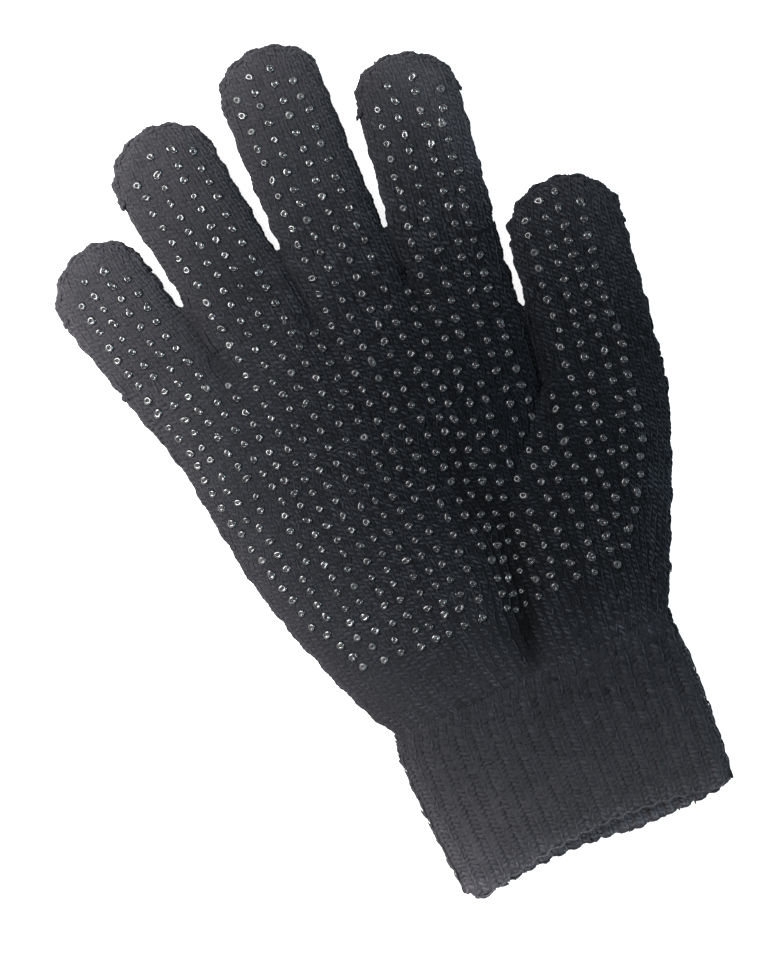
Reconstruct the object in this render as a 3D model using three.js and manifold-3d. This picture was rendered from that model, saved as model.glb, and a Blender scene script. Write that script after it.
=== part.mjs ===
// A knitted riding glove for the right hand, lying on its back with the palm up.
// Millimetres: +X to the thumb side, +Y to the fingertips, +Z up from the surface that the glove lies on.
import * as THREE from "three";
import { mergeVertices } from "three/addons/utils/BufferGeometryUtils.js";
import Module from "manifold-3d";

const wasm = await Module();
wasm.setup();

// Knitted walls, and the gap between neighbouring tubes.
const FABRIC = 1.8;
const RIB_FABRIC = 1.6;
const SEAM_GAP = 0.3;

// Where the tubes meet, along Y.
const FINGER_ROOTS = 43.3;
const PALM_TOP = FINGER_ROOTS - SEAM_GAP;
const WRIST = -62.5;
const CUFF_TOP = WRIST - SEAM_GAP;
const CUFF_HEM = -108.6;

// A knitted tube that lies flat: its folded sides lie at EDGE_LEVEL of its height, the underside
// is pressed flat, and the top is a dome. A higher power is squarer.
const EDGE_LEVEL = 0.42;
const BASE_POWER = 6;
const BASE_PRESS = 1.04;

// Each finger's axis starts at its root and leans to the left of +Y. A row is one section:
// how far along the axis it lies, how far its middle is off the axis, its half width and its height.
// The tip is a half ellipse, tipArc long, whose middle ends tipOffset off the axis.
const DIGITS = [
  {
    name: "little_finger", root: [-51.6, FINGER_ROOTS], lean: 7.8, rootTurn: 7.8,
    length: 38.7, tipArc: 11.6, tipOffset: 0.1,
    rows: [
      { along: 0, offset: 0.4, half: 12.4, height: 10.0 },
      { along: 10, offset: 0.0, half: 12.9, height: 9.8 },
      { along: 20, offset: -1.2, half: 13.2, height: 9.6 },
      { along: 27.1, offset: -1.5, half: 13.1, height: 9.4 },
    ],
  },
  {
    name: "ring_finger", root: [-25.0, FINGER_ROOTS], lean: 5.0, rootTurn: 5.0,
    length: 59.2, tipArc: 12, tipOffset: -0.6,
    rows: [
      { along: 0, offset: 0.0, half: 13.1, height: 10.2 },
      { along: 12, offset: -0.1, half: 13.3, height: 10.1 },
      { along: 24, offset: -0.2, half: 13.5, height: 9.9 },
      { along: 36, offset: -0.6, half: 13.7, height: 9.7 },
      { along: 47.2, offset: -1.0, half: 14.2, height: 9.5 },
    ],
  },
  {
    name: "middle_finger", root: [0.9, FINGER_ROOTS], lean: -2.0, rootTurn: -2.0,
    length: 65.7, tipArc: 10.4, tipOffset: -0.3,
    rows: [
      { along: 0, offset: 0.1, half: 12.5, height: 10.2 },
      { along: 11, offset: -0.3, half: 12.9, height: 10.1 },
      { along: 26, offset: -0.6, half: 13.5, height: 9.9 },
      { along: 41, offset: -0.5, half: 13.3, height: 9.7 },
      { along: 55.3, offset: 0.0, half: 13.5, height: 9.5 },
    ],
  },
  {
    name: "index_finger", root: [26.9, FINGER_ROOTS], lean: -7.6, rootTurn: -7.6,
    length: 50.4, tipArc: 10.8, tipOffset: -0.1,
    rows: [
      { along: 0, offset: -0.3, half: 12.8, height: 10.2 },
      { along: 10, offset: -0.2, half: 13.5, height: 10.0 },
      { along: 20, offset: 0.3, half: 13.3, height: 9.8 },
      { along: 30, offset: 0.7, half: 13.2, height: 9.7 },
      { along: 39.6, offset: 1.0, half: 13.5, height: 9.5 },
    ],
  },
  {
    name: "thumb", root: [48.8, 0.15], lean: -13.4, rootTurn: 0,
    length: 48.9, tipArc: 12, tipOffset: -0.9,
    rows: [
      { along: SEAM_GAP, offset: 0.2, half: 14.9, height: 12.0 },
      { along: 10, offset: -0.4, half: 14.9, height: 11.6 },
      { along: 20, offset: -0.9, half: 15.0, height: 11.0 },
      { along: 30, offset: -1.7, half: 15.0, height: 10.4 },
      { along: 36.9, offset: -1.9, half: 14.8, height: 10.0 },
    ],
  },
];
const ROOT_POWER = 3.6; // at the root the tube is squarer, because its neighbours press on it
const TIP_POWER = 2.3;
const TIP_THINNING = 0.55;
const TURN_LENGTH = 12; // along this the sections turn from the root line to square with the axis
const DIGIT_COLUMNS = 12;
const TIP_ANGLES = [22, 42, 58, 71, 82];
const LINING_TIP_ANGLES = [30, 58, 78];

// The palm tube: its two folded sides and its height at each Y, from the wrist to the finger roots.
// Below the thumb its right side lies inside the swell of the thumb's base.
const PALM_ROWS = [
  { y: WRIST, left: -37.2, right: 16.0, height: 10.8 },
  { y: -58, left: -39.8, right: 15.5, height: 11.3 },
  { y: -50, left: -43.5, right: 15.0, height: 11.8 },
  { y: -40, left: -46.8, right: 14.5, height: 12.1 },
  { y: -27, left: -50.8, right: 17.0, height: 12.1 },
  { y: -14, left: -54.0, right: 24.0, height: 12.0 },
  { y: -4, left: -55.2, right: 30.5, height: 11.8 },
  { y: 4, left: -56.3, right: 33.6, height: 11.6 },
  { y: 14, left: -56.8, right: 35.7, height: 11.3 },
  { y: 24, left: -58.4, right: 36.8, height: 11.0 },
  { y: 32, left: -60.6, right: 37.8, height: 10.6 },
  { y: 38, left: -62.3, right: 38.7, height: 10.4 },
  { y: PALM_TOP, left: -63.7, right: 39.5, height: 10.2 },
];
const PALM_POWER = 2.7;
const PALM_COLUMNS = 36;
const PALM_LINING_COLUMNS = 26;

// The swell of the thumb's base, from the wrist to the thumb's root: the two ends of each section.
const THUMB_BASE_ROWS = [
  { left: [-10, WRIST], right: [37.8, WRIST], height: 10.8 },
  { left: [-7, -55], right: [42.0, -55], height: 11.5 },
  { left: [-3, -45], right: [46.9, -45], height: 12.2 },
  { left: [1, -35], right: [51.8, -35], height: 12.8 },
  { left: [7, -24.5], right: [56.8, -24], height: 13.0 },
  { left: [17, -12.5], right: [60.9, -14], height: 13.0 },
  { left: [27, -3.5], right: [62.5, -8], height: 12.5 },
  { left: [34.5, 3.6], right: [63.5, -3.4], height: 12.0 },
];
const THUMB_BASE_POWER = 2.3;
const THUMB_BASE_COLUMNS = 18;
const OPEN_END = 3; // the hollows run this far out of the open ends before they are cut away

// Grooves between the fingers, fading into the palm: where each starts at the roots and ends.
const GROOVES = [
  { root: -38.5, palm: -36.2 },
  { root: -11.7, palm: -12.4 },
  { root: 13.6, palm: 11.0 },
];
const GROOVE_DEPTH = 2.6;
const GROOVE_WIDTH = 2.4;
const GROOVE_END = 16;

// The ribbed cuff: folded sides and height of its middle layer at each Y, corrugated by the ribs.
const CUFF_ROWS = [
  { y: CUFF_TOP, left: -36.9, right: 37.1, height: 9.0 },
  { y: -66, left: -38.0, right: 37.5, height: 9.2 },
  { y: -75, left: -38.3, right: 37.2, height: 9.0 },
  { y: -90, left: -38.3, right: 36.2, height: 8.6 },
  { y: -100, left: -38.1, right: 35.3, height: 8.4 },
  { y: CUFF_HEM, left: -37.5, right: 34.5, height: 8.2 },
];
const CUFF_POWER = 2.8;
const RIBS = 36;
const POINTS_PER_RIB = 4;
const RIB_RELIEF = 0.45;
const CUFF_OUTER_STEPS = [0, 0.06, 0.2, 0.4, 0.6, 0.8, 0.94, 1];
const CUFF_INNER_STEPS = [0, 0.35, 0.7, 1];

// The hem: how far each layer's edge rises above CUFF_HEM at its peak, where that is along X,
// and how wide the rise is. The folded corners are rounded off.
const PALM_LAYER_HEM = { rise: 5.0, at: -1.5, reach: 35 };
const BACK_LAYER_HEM = { rise: 2.2, at: -14, reach: 22 };
const LEFT_CORNER = 3.6;
const RIGHT_CORNER = 1.4;
const CORNER_POWER = 14;
const HEM_SCALLOP = 0.3;

const mix = (a, b, t) => a + (b - a) * t;
const smooth = (t) => THREE.MathUtils.smoothstep(t, 0, 1);
const arch = (x, power) => Math.max(0, 1 - Math.abs(x) ** power) ** (1 / power);

// The values of a table at one place between its rows. key is the column that says where a row lies.
function rowAt(rows, key, place) {
  const last = rows.length - 1;
  const up = rows[last][key] > rows[0][key];
  let i = rows.findIndex((row) => (up ? row[key] >= place : row[key] <= place));
  i = i < 0 ? last : Math.max(1, i);
  const t = THREE.MathUtils.clamp((place - rows[i - 1][key]) / (rows[i][key] - rows[i - 1][key]), 0, 1);
  return Object.fromEntries(
    Object.keys(rows[i]).map((column) => [column, mix(rows[i - 1][column], rows[i][column], t)]),
  );
}

// One section of a flat tube, from its folded left side over the top to the right and back below.
// A section holds left and right, the ends of its middle line in plan, lift, height and power.
function ring(section, columns, top = (x, y, z) => z) {
  const at = (i, below) => {
    const across = -Math.cos((Math.PI * i) / columns);
    const x = mix(section.left[0], section.right[0], (across + 1) / 2);
    const y = mix(section.left[1], section.right[1], (across + 1) / 2);
    if (below) {
      const level = EDGE_LEVEL * Math.max(0, 1 - BASE_PRESS * arch(across, BASE_POWER));
      return new THREE.Vector3(x, y, section.lift + section.height * level);
    }
    const level = EDGE_LEVEL + (1 - EDGE_LEVEL) * arch(across, section.power);
    return new THREE.Vector3(x, y, top(x, y, section.lift + section.height * level));
  };
  const above = Array.from({ length: columns + 1 }, (_, i) => at(i, false));
  const below = Array.from({ length: columns - 1 }, (_, i) => at(columns - 1 - i, true));
  return [...above, ...below];
}

// The same section drawn in by the thickness of the wall, for the hollow.
function drawnIn(section, wall) {
  const left = new THREE.Vector2(...section.left);
  const right = new THREE.Vector2(...section.right);
  const inwards = right.clone().sub(left).setLength(wall);
  return {
    ...section,
    left: left.add(inwards).toArray(),
    right: right.sub(inwards).toArray(),
    lift: section.lift + wall,
    height: section.height - 2 * wall,
  };
}

// Triangles, each three corners, facing out of the tube whose rings run towards +Y.
function skin(rings) {
  const faces = [];
  for (let r = 1; r < rings.length; r++) {
    const [near, far] = [rings[r - 1], rings[r]];
    near.forEach((a, i) => {
      const next = (i + 1) % near.length;
      faces.push([a, near[next], far[next]], [a, far[next], far[i]]);
    });
  }
  return faces;
}

const turnedRound = (faces) => faces.map(([a, b, c]) => [a, c, b]);

function tipFan(last, tip) {
  return last.map((a, i) => [a, last[(i + 1) % last.length], tip]);
}

// A flat end across a ring, facing +Y, as a strip between its upper and lower points.
function flatEnd(points) {
  const columns = points.length / 2;
  const below = (i) => points[(points.length - i) % points.length];
  const faces = [];
  for (let i = 0; i < columns; i++) {
    const [a, b] = [points[i], points[i + 1]];
    const [c, d] = [i + 1 < columns ? below(i + 1) : b, i > 0 ? below(i) : a];
    if (c !== b) faces.push([a, b, c]);
    if (d !== a) faces.push([a, c === b ? b : c, d]);
  }
  return faces;
}

// The edge of the fabric between an outer and an inner ring, facing -Y.
function edgeBand(outer, inner) {
  const faces = [];
  outer.forEach((a, i) => {
    const next = (i + 1) % outer.length;
    faces.push([outer[next], a, inner[i]], [outer[next], inner[i], inner[next]]);
  });
  return faces;
}

function geometryOf(faces) {
  const corners = faces.flat().flatMap((p) => [p.x, p.y, p.z]);
  const geometry = new THREE.BufferGeometry();
  geometry.setAttribute("position", new THREE.Float32BufferAttribute(corners, 3));
  geometry.computeVertexNormals();
  return geometry;
}

// A closed surface as a solid that can be joined and cut.
function solidOf(faces) {
  const geometry = geometryOf(faces);
  geometry.deleteAttribute("normal");
  const merged = mergeVertices(geometry, 1e-4);
  return new wasm.Manifold(
    new wasm.Mesh({
      numProp: 3,
      vertProperties: merged.attributes.position.array,
      triVerts: new Uint32Array(merged.index.array),
    }),
  );
}

function geometryOfSolid(solid) {
  const mesh = solid.getMesh();
  const geometry = new THREE.BufferGeometry();
  geometry.setAttribute("position", new THREE.Float32BufferAttribute(mesh.vertProperties, 3));
  geometry.setIndex(new THREE.BufferAttribute(mesh.triVerts, 1));
  geometry.computeVertexNormals();
  return geometry;
}

// A section of a finger in its own frame, with the root at the origin and the axis along +Y.
// turn is the angle between the section and the axis, in degrees.
function digitSection(row, power, turn, lift = 0) {
  const across = new THREE.Vector2(row.half, 0).rotateAround(
    new THREE.Vector2(),
    THREE.MathUtils.degToRad(-turn),
  );
  return {
    left: [row.offset - across.x, row.along - across.y],
    right: [row.offset + across.x, row.along + across.y],
    lift,
    height: row.height,
    power,
  };
}

// The sections of a finger from its root to just before its tip, and its tip point.
// wall is 0 for the outside and the fabric's thickness for the hollow.
function digitRings(digit, wall, tipAngles) {
  const straight = digit.length - digit.tipArc;
  const end = digit.rows[digit.rows.length - 1];
  const draw = (section) => ring(wall ? drawnIn(section, wall) : section, DIGIT_COLUMNS);
  const rings = digit.rows.map((row) => {
    const power = mix(ROOT_POWER, TIP_POWER, smooth(row.along / straight));
    const turn = digit.rootTurn * (1 - smooth(row.along / TURN_LENGTH));
    return draw(digitSection(row, power, turn));
  });
  const tipAt = (angle) => {
    const [rise, shrink] = [Math.sin(angle), Math.cos(angle)];
    const height = end.height * shrink ** TIP_THINNING;
    const along = straight + (digit.tipArc - wall) * rise;
    const offset = mix(end.offset, digit.tipOffset, rise ** 2);
    const lift = EDGE_LEVEL * (end.height - height);
    return { along, offset, half: end.half * shrink, height, lift };
  };
  for (const degrees of tipAngles) {
    const row = tipAt(THREE.MathUtils.degToRad(degrees));
    if (wall) {
      // The hollow's tip keeps its own arc, so its sections are already drawn in.
      row.half *= (end.half - wall) / end.half;
      row.height *= (end.height - 2 * wall) / end.height;
      row.lift = wall + EDGE_LEVEL * (end.height - 2 * wall - row.height);
    }
    rings.push(ring(digitSection(row, TIP_POWER, 0, row.lift), DIGIT_COLUMNS));
  }
  const tipLevel = wall + EDGE_LEVEL * (end.height - 2 * wall);
  return { rings, tip: new THREE.Vector3(digit.tipOffset, digit.length - wall, tipLevel) };
}

function digitGeometry(digit) {
  const outer = digitRings(digit, 0, TIP_ANGLES);
  const hollow = digitRings(digit, FABRIC, LINING_TIP_ANGLES);
  return geometryOf([
    ...skin(outer.rings),
    ...tipFan(outer.rings.at(-1), outer.tip),
    ...turnedRound(skin(hollow.rings)),
    ...turnedRound(tipFan(hollow.rings.at(-1), hollow.tip)),
    ...edgeBand(outer.rings[0], hollow.rings[0]),
  ]);
}

// How deep the grooves between the finger roots are at a point of the palm.
function grooveDepth(x, y) {
  const fade = smooth((y - GROOVE_END) / (PALM_TOP - GROOVE_END));
  return GROOVES.reduce((depth, groove) => {
    const middle = mix(groove.palm, groove.root, fade);
    return depth + GROOVE_DEPTH * fade * Math.exp(-(((x - middle) / GROOVE_WIDTH) ** 2));
  }, 0);
}

// A closed body through the sections. For the hollow, the first and last sections are
// repeated beyond the open ends.
function loft(sections, columns, wall, top) {
  let drawn = sections;
  if (wall) {
    const beyond = (section, from) => {
      const way = new THREE.Vector2(
        section.left[0] + section.right[0] - from.left[0] - from.right[0],
        section.left[1] + section.right[1] - from.left[1] - from.right[1],
      ).setLength(OPEN_END);
      return {
        ...section,
        left: [section.left[0] + way.x, section.left[1] + way.y],
        right: [section.right[0] + way.x, section.right[1] + way.y],
      };
    };
    drawn = [
      beyond(sections[0], sections[1]),
      ...sections,
      beyond(sections.at(-1), sections.at(-2)),
    ].map((section) => drawnIn(section, wall));
  }
  const rings = drawn.map((section) => ring(section, columns, top));
  return solidOf([
    ...skin(rings),
    ...flatEnd(rings.at(-1)),
    ...turnedRound(flatEnd(rings[0])),
  ]);
}

function palmGeometry() {
  const palm = PALM_ROWS.map((row) => ({
    left: [row.left, row.y], right: [row.right, row.y],
    lift: 0, height: row.height, power: PALM_POWER,
  }));
  const thumbBase = THUMB_BASE_ROWS.map((row) => ({ ...row, lift: 0, power: THUMB_BASE_POWER }));
  const grooved = (x, y, z) => z - grooveDepth(x, y);
  const outside = loft(palm, PALM_COLUMNS, 0, grooved).add(
    loft(thumbBase, THUMB_BASE_COLUMNS, 0),
  );
  const hollow = loft(palm, PALM_LINING_COLUMNS, FABRIC, grooved).add(
    loft(thumbBase, THUMB_BASE_COLUMNS, FABRIC),
  );
  return geometryOfSolid(outside.subtract(hollow));
}

// Points spaced evenly round the cuff's middle layer at one Y, with the way out of the tube there.
function cuffLine(row) {
  const half = (row.right - row.left) / 2;
  const middle = (row.right + row.left) / 2;
  const fine = ring(
    { left: [-half, 0], right: [half, 0], lift: 0, height: row.height, power: CUFF_POWER },
    RIBS * POINTS_PER_RIB,
  ).map((p) => new THREE.Vector3(p.x + middle, 0, p.z));
  const outline = new THREE.CatmullRomCurve3(fine, true, "centripetal");
  outline.arcLengthDivisions = 4 * fine.length;
  const count = RIBS * POINTS_PER_RIB;
  return Array.from({ length: count }, (_, i) => {
    const along = outline.getTangentAt(i / count);
    return { point: outline.getPointAt(i / count), out: new THREE.Vector3(-along.z, 0, along.x) };
  });
}

function hemLine(x, z, row) {
  const middle = (row.left + row.right) / 2;
  const half = (row.right - row.left) / 2;
  const across = THREE.MathUtils.clamp((x - middle) / half, -1, 1);
  const layer = z > EDGE_LEVEL * row.height ? PALM_LAYER_HEM : BACK_LAYER_HEM;
  const rise = layer.rise * Math.max(0, 1 - ((x - layer.at) / layer.reach) ** 2);
  const corner = (across < 0 ? LEFT_CORNER : RIGHT_CORNER) * Math.abs(across) ** CORNER_POWER;
  return CUFF_HEM + rise + corner;
}

// One ring of the corrugated cuff, a share of the way from its top to its hem.
// side is 1 on the outside of the fabric and -1 on the inside.
function cuffRing(share, side) {
  const hemRow = CUFF_ROWS.at(-1);
  const row = rowAt(CUFF_ROWS, "y", mix(CUFF_TOP, CUFF_HEM, share));
  return cuffLine(row).map(({ point, out }, i) => {
    const wave = Math.cos((2 * Math.PI * i) / POINTS_PER_RIB);
    const reach = (side * RIB_FABRIC) / 2 + RIB_RELIEF * wave;
    const hem = hemLine(point.x, point.z, hemRow) + HEM_SCALLOP * wave;
    const level = point.z + RIB_FABRIC / 2 + out.z * reach;
    // Where the cuff rests, its ribs are pressed flat.
    return new THREE.Vector3(point.x + out.x * reach, mix(CUFF_TOP, hem, share), Math.max(0, level));
  });
}

function cuffGeometry() {
  const rings = (steps, side) => [...steps].reverse().map((share) => cuffRing(share, side));
  const outer = rings(CUFF_OUTER_STEPS, 1);
  const inner = rings(CUFF_INNER_STEPS, -1);
  return geometryOf([
    ...skin(outer),
    ...turnedRound(skin(inner)),
    ...edgeBand(outer[0], inner[0]),
    ...turnedRound(edgeBand(outer.at(-1), inner.at(-1))),
  ]);
}

const plainKnit = new THREE.MeshStandardMaterial({ color: 0x2b2d33, roughness: 0.95, metalness: 0 });
const ribKnit = new THREE.MeshStandardMaterial({ color: 0x34363c, roughness: 0.95, metalness: 0 });

const glove = new THREE.Group();

function addPiece(name, geometry, material, place = new THREE.Group()) {
  const mesh = new THREE.Mesh(geometry, material);
  mesh.name = name;
  place.add(mesh);
  glove.add(place);
}

addPiece("palm_body", palmGeometry(), plainKnit);
addPiece("rib_cuff", cuffGeometry(), ribKnit);
for (const digit of DIGITS) {
  const place = new THREE.Group();
  place.position.set(...digit.root, 0);
  place.rotation.z = THREE.MathUtils.degToRad(digit.lean);
  addPiece(digit.name, digitGeometry(digit), plainKnit, place);
}

export default glove;
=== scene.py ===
import math

import bmesh
import bpy
import numpy as np
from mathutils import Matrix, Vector
from mathutils.bvhtree import BVHTree


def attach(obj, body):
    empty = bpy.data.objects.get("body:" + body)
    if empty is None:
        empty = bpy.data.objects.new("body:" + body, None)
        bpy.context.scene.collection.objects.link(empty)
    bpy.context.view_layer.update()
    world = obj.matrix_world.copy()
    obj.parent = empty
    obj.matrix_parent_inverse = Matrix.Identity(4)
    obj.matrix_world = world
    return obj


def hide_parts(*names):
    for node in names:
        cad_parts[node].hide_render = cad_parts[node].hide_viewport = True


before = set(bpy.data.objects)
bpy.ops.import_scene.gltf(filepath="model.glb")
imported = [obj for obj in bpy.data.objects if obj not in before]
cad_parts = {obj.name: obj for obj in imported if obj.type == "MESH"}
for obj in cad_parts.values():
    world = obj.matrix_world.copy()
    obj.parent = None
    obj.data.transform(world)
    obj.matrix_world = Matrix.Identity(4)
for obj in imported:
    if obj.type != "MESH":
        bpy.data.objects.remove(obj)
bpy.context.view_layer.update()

MM = 0.001

# The table, the light and the camera. The glove lies on its back on a white light table. A large
# soft lamp stands to its upper left, a weaker one lights it from the wrist and a bluish one from
# its right, and the camera looks straight down.
VIEW_MIDDLE = (-12.85 * MM, -2.31 * MM)
VIEW_HEIGHT = 239.5 * MM
VIEW_TURN = math.radians(-25)
CAMERA_ABOVE = 1.3
PALM_LEVEL = 9 * MM
SENSOR = 24
TABLE_REACH = 1.5
# Each lamp: the way to it from the glove, its distance, its size, its power in watts, its colour.
LAMPS = {
    "key_softbox": ((-0.72, 0.70, 1.05), 0.62, 0.44, 7.6, (1, 1, 1)),
    "wrist_softbox": ((-0.35, -0.95, 1.0), 0.75, 0.5, 2.0, (1, 1, 1)),
    "right_softbox": ((1.0, -0.25, 0.6), 0.9, 0.4, 4.0, (0.55, 0.85, 1.0)),
}


def set_out(name, data):
    """A new object in the scene."""
    thing = bpy.data.objects.new(name, data)
    bpy.context.scene.collection.objects.link(thing)
    return thing


def set_values(node, values):
    """Sets these sockets of a shader node."""
    for socket, value in values.items():
        node.inputs[socket].default_value = value


def new_finish(name, values):
    """A new material, its node tree and its shader, with these values on the shader's sockets."""
    finish = bpy.data.materials.new(name)
    finish.use_nodes = True
    shader = finish.node_tree.nodes["Principled BSDF"]
    set_values(shader, values)
    return finish, finish.node_tree, shader


camera = set_out("camera", bpy.data.cameras.new("camera"))
camera.data.sensor_fit = "VERTICAL"
camera.data.sensor_height = SENSOR
camera.data.lens = SENSOR * (CAMERA_ABOVE - PALM_LEVEL) / VIEW_HEIGHT
camera.data.clip_start = 0.01
camera.location = (*VIEW_MIDDLE, CAMERA_ABOVE)
camera.rotation_euler = (0, 0, VIEW_TURN)
bpy.context.scene.camera = camera
bpy.context.scene.view_settings.view_transform = "Standard"

floor_mesh = bpy.data.meshes.new("table")
floor_shape = bmesh.new()
bmesh.ops.create_grid(floor_shape, x_segments=1, y_segments=1, size=TABLE_REACH)
floor_shape.to_mesh(floor_mesh)
floor_shape.free()
floor_finish, _, _ = new_finish("white_table", {
    "Base Color": (0.93, 0.93, 0.93, 1), "Roughness": 0.9, "Specular IOR Level": 0.1,
    "Emission Color": (1, 1, 1, 1), "Emission Strength": 0.85,
})
floor_mesh.materials.append(floor_finish)
floor = set_out("table", floor_mesh)

for name, (way, far, size, watts, colour) in LAMPS.items():
    light = bpy.data.lights.new(name, "AREA")
    light.shape = "DISK"
    light.size = size
    light.energy = watts
    light.color = colour
    stand = set_out(name, light)
    way = Vector(way).normalized()
    stand.location = way * far
    stand.rotation_euler = way.to_track_quat("Z", "Y").to_euler()
world = bpy.data.worlds.new("room")
world.use_nodes = True
set_values(world.node_tree.nodes["Background"], {"Color": (1, 1, 1, 1), "Strength": 0.32})
bpy.context.scene.world = world

# The fabric under the stitches. The walls are knitted of a thick soft yarn, so what shows
# between the loops is the same dark wool, deeper in, with painted shade on it.
FABRIC_NODES = [
    "palm_body", "little_finger", "ring_finger", "middle_finger", "index_finger", "thumb", "rib_cuff",
]
STITCH_DEPTH = 0.18 * MM
FOLD_DEPTH = 0.12 * MM
PAINTED_DEEP_SHADE = 0.88
RING_STEP = 2.0 * MM
RIM_ANGLE = math.radians(50)
HOLLOW_REACH = 40 * MM
FOLD_LEVEL = 4.6 * MM
WELL_ABOVE = 0.05
WOOL = 0.015
# A painted falloff of light, in an oval: painted shade in the palm's middle, painted light growing away from
# it.
PAINTED_FALLOFF = {
    "centre": (0.0246, -0.0030, 0.008), "turned": math.radians(13.5), "across": 0.1195, "along": 0.1445,
    "stops": [(0.0, 0.26), (0.2, 0.26), (0.4, 0.70), (0.6, 1.38), (0.8, 2.45), (1.0, 4.6)],
}


def smooth(t):
    t = np.clip(t, 0, 1)
    return t * t * (3 - 2 * t)


def add_piece(name, mesh, slot):
    """A piece of the glove, in the finish of its slot."""
    piece = set_out(name, mesh)
    mesh.materials.clear()
    mesh.materials.append(finishes[slot])
    mesh.polygons.foreach_set("use_smooth", [True] * len(mesh.polygons))
    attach(piece, "root")
    return piece


def add_node(tree, kind, values, sources, **settings):
    """A new shader node: the values of its sockets, what is linked to them, and its settings."""
    node = tree.nodes.new("ShaderNode" + kind)
    for setting, choice in settings.items():
        setattr(node, setting, choice)
    set_values(node, values)
    for socket, source in sources.items():
        tree.links.new(source, node.inputs[socket])
    return node


def add_bump(tree, shader, height, strength, distance):
    """Fine relief, this many millimetres high."""
    bump = add_node(tree, "Bump", {"Strength": strength, "Distance": distance * MM}, {"Height": height})
    tree.links.new(bump.outputs["Normal"], shader.inputs["Normal"])


def knit_finish(name):
    """Matt yarn: fine fibres, mottled from loop to loop, under a painted falloff: painted shade in the
    palm's middle, painted light away from it. The attribute tone adds painted shade in the furrows and on
    the fabric behind the loops, and painted light on the raised legs and in the listed patches."""
    finish, tree, shader = new_finish(name, {
        "Roughness": 0.9, "Specular IOR Level": 0.05, "Sheen Weight": 0.06, "Sheen Roughness": 0.5,
        "Sheen Tint": (0.5, 0.52, 0.6, 1),
    })
    place = add_node(tree, "TexCoord", {}, {}).outputs["Object"]

    def noise(scale, roughness):
        values = {"Scale": scale, "Detail": 3, "Roughness": roughness}
        return add_node(tree, "TexNoise", values, {"Vector": place}).outputs["Fac"]

    fibres = noise(3600, 0.7)
    sources = {}
    for value, weight in ((noise(120, 0.5), 0.15), (fibres, 0.4), (noise(1500, 0.6), 0.45)):
        sources[0] = value
        mottle = add_node(tree, "Math", {1: weight, 2: 0.0}, sources, operation="MULTIPLY_ADD")
        sources[2] = mottle.outputs["Value"]
    mottled = add_node(tree, "MapRange", {"From Min": 0.3, "From Max": 0.7, "To Min": 0.5, "To Max": 1.5},
                       {"Value": mottle.outputs["Value"]})
    oval = add_node(tree, "Mapping", {
        "Location": PAINTED_FALLOFF["centre"], "Rotation": (0, 0, PAINTED_FALLOFF["turned"]),
        "Scale": (PAINTED_FALLOFF["across"], PAINTED_FALLOFF["along"], PAINTED_FALLOFF["along"]),
    }, {"Vector": place}, vector_type="TEXTURE")
    falloff_distance = add_node(tree, "VectorMath", {}, {0: oval.outputs["Vector"]}, operation="LENGTH")
    ground = add_node(tree, "ValToRGB", {}, {"Fac": falloff_distance.outputs["Value"]})
    stops = ground.color_ramp.elements
    ground.color_ramp.interpolation = "B_SPLINE"
    for i, (spot, strength) in enumerate(PAINTED_FALLOFF["stops"]):
        stop = stops[i] if i < 2 else stops.new(spot)
        stop.position = spot
        # Under the painted shade the wool is bluish, under the painted light grey.
        warm = min(1, 1.4 * spot)
        cast = (0.73 + 0.28 * warm, 1.0 - 0.04 * spot, 1.36 - 0.29 * warm)
        stop.color = (*[strength * WOOL * share for share in cast], 1)
    tone = add_node(tree, "Attribute", {}, {}, attribute_name="tone")
    strength = add_node(tree, "Math", {}, {0: mottled.outputs["Result"], 1: tone.outputs["Fac"]},
                        operation="MULTIPLY")
    dyed = add_node(tree, "VectorMath", {}, {0: ground.outputs["Color"], "Scale": strength.outputs["Value"]},
                    operation="SCALE")
    tree.links.new(dyed.outputs["Vector"], shader.inputs["Base Color"])
    add_bump(tree, shader, fibres, 0.7, 0.12)
    return finish


finishes = {name: knit_finish(name) for name in ("plain_knit", "rib_knit")}


def rounded_copy(node):
    """A CAD node as one closed mesh, rounded off, with the edges of its open ends kept sharp."""
    shape = bmesh.new()
    shape.from_mesh(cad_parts[node].data)
    bmesh.ops.remove_doubles(shape, verts=shape.verts, dist=0.002 * MM)
    bmesh.ops.join_triangles(
        shape, faces=shape.faces,
        angle_face_threshold=math.radians(35), angle_shape_threshold=math.radians(70),
    )
    crease = shape.edges.layers.float.new("crease_edge")
    for edge in shape.edges:
        if edge.is_manifold and edge.calc_face_angle() > RIM_ANGLE:
            if max(abs(face.normal.y) for face in edge.link_faces) > 0.8:
                edge[crease] = 1.0
    mesh = bpy.data.meshes.new(node)
    shape.to_mesh(mesh)
    shape.free()
    rough = set_out(node + "_rough", mesh)
    rounding = rough.modifiers.new("rounding", "SUBSURF")
    rounding.levels = rounding.render_levels = 1
    now = bpy.context.evaluated_depsgraph_get()
    rounded = bpy.data.meshes.new_from_object(rough.evaluated_get(now))
    bpy.data.objects.remove(rough)
    # A ring of points every few courses, so that the sides can wave.
    shape = bmesh.new()
    shape.from_mesh(rounded)
    ys = [v.co.y for v in shape.verts]
    for y in np.arange(min(ys) + RING_STEP, max(ys), RING_STEP):
        everything = shape.verts[:] + shape.edges[:] + shape.faces[:]
        bmesh.ops.bisect_plane(
            shape, geom=everything, dist=0.05 * MM, plane_co=(0, float(y), 0), plane_no=(0, 1, 0),
        )
    shape.to_mesh(rounded)
    shape.free()
    return rounded


def tree_of(mesh):
    corners = [v.co.copy() for v in mesh.vertices]
    return BVHTree.FromPolygons(corners, [tuple(p.vertices) for p in mesh.polygons])


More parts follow.
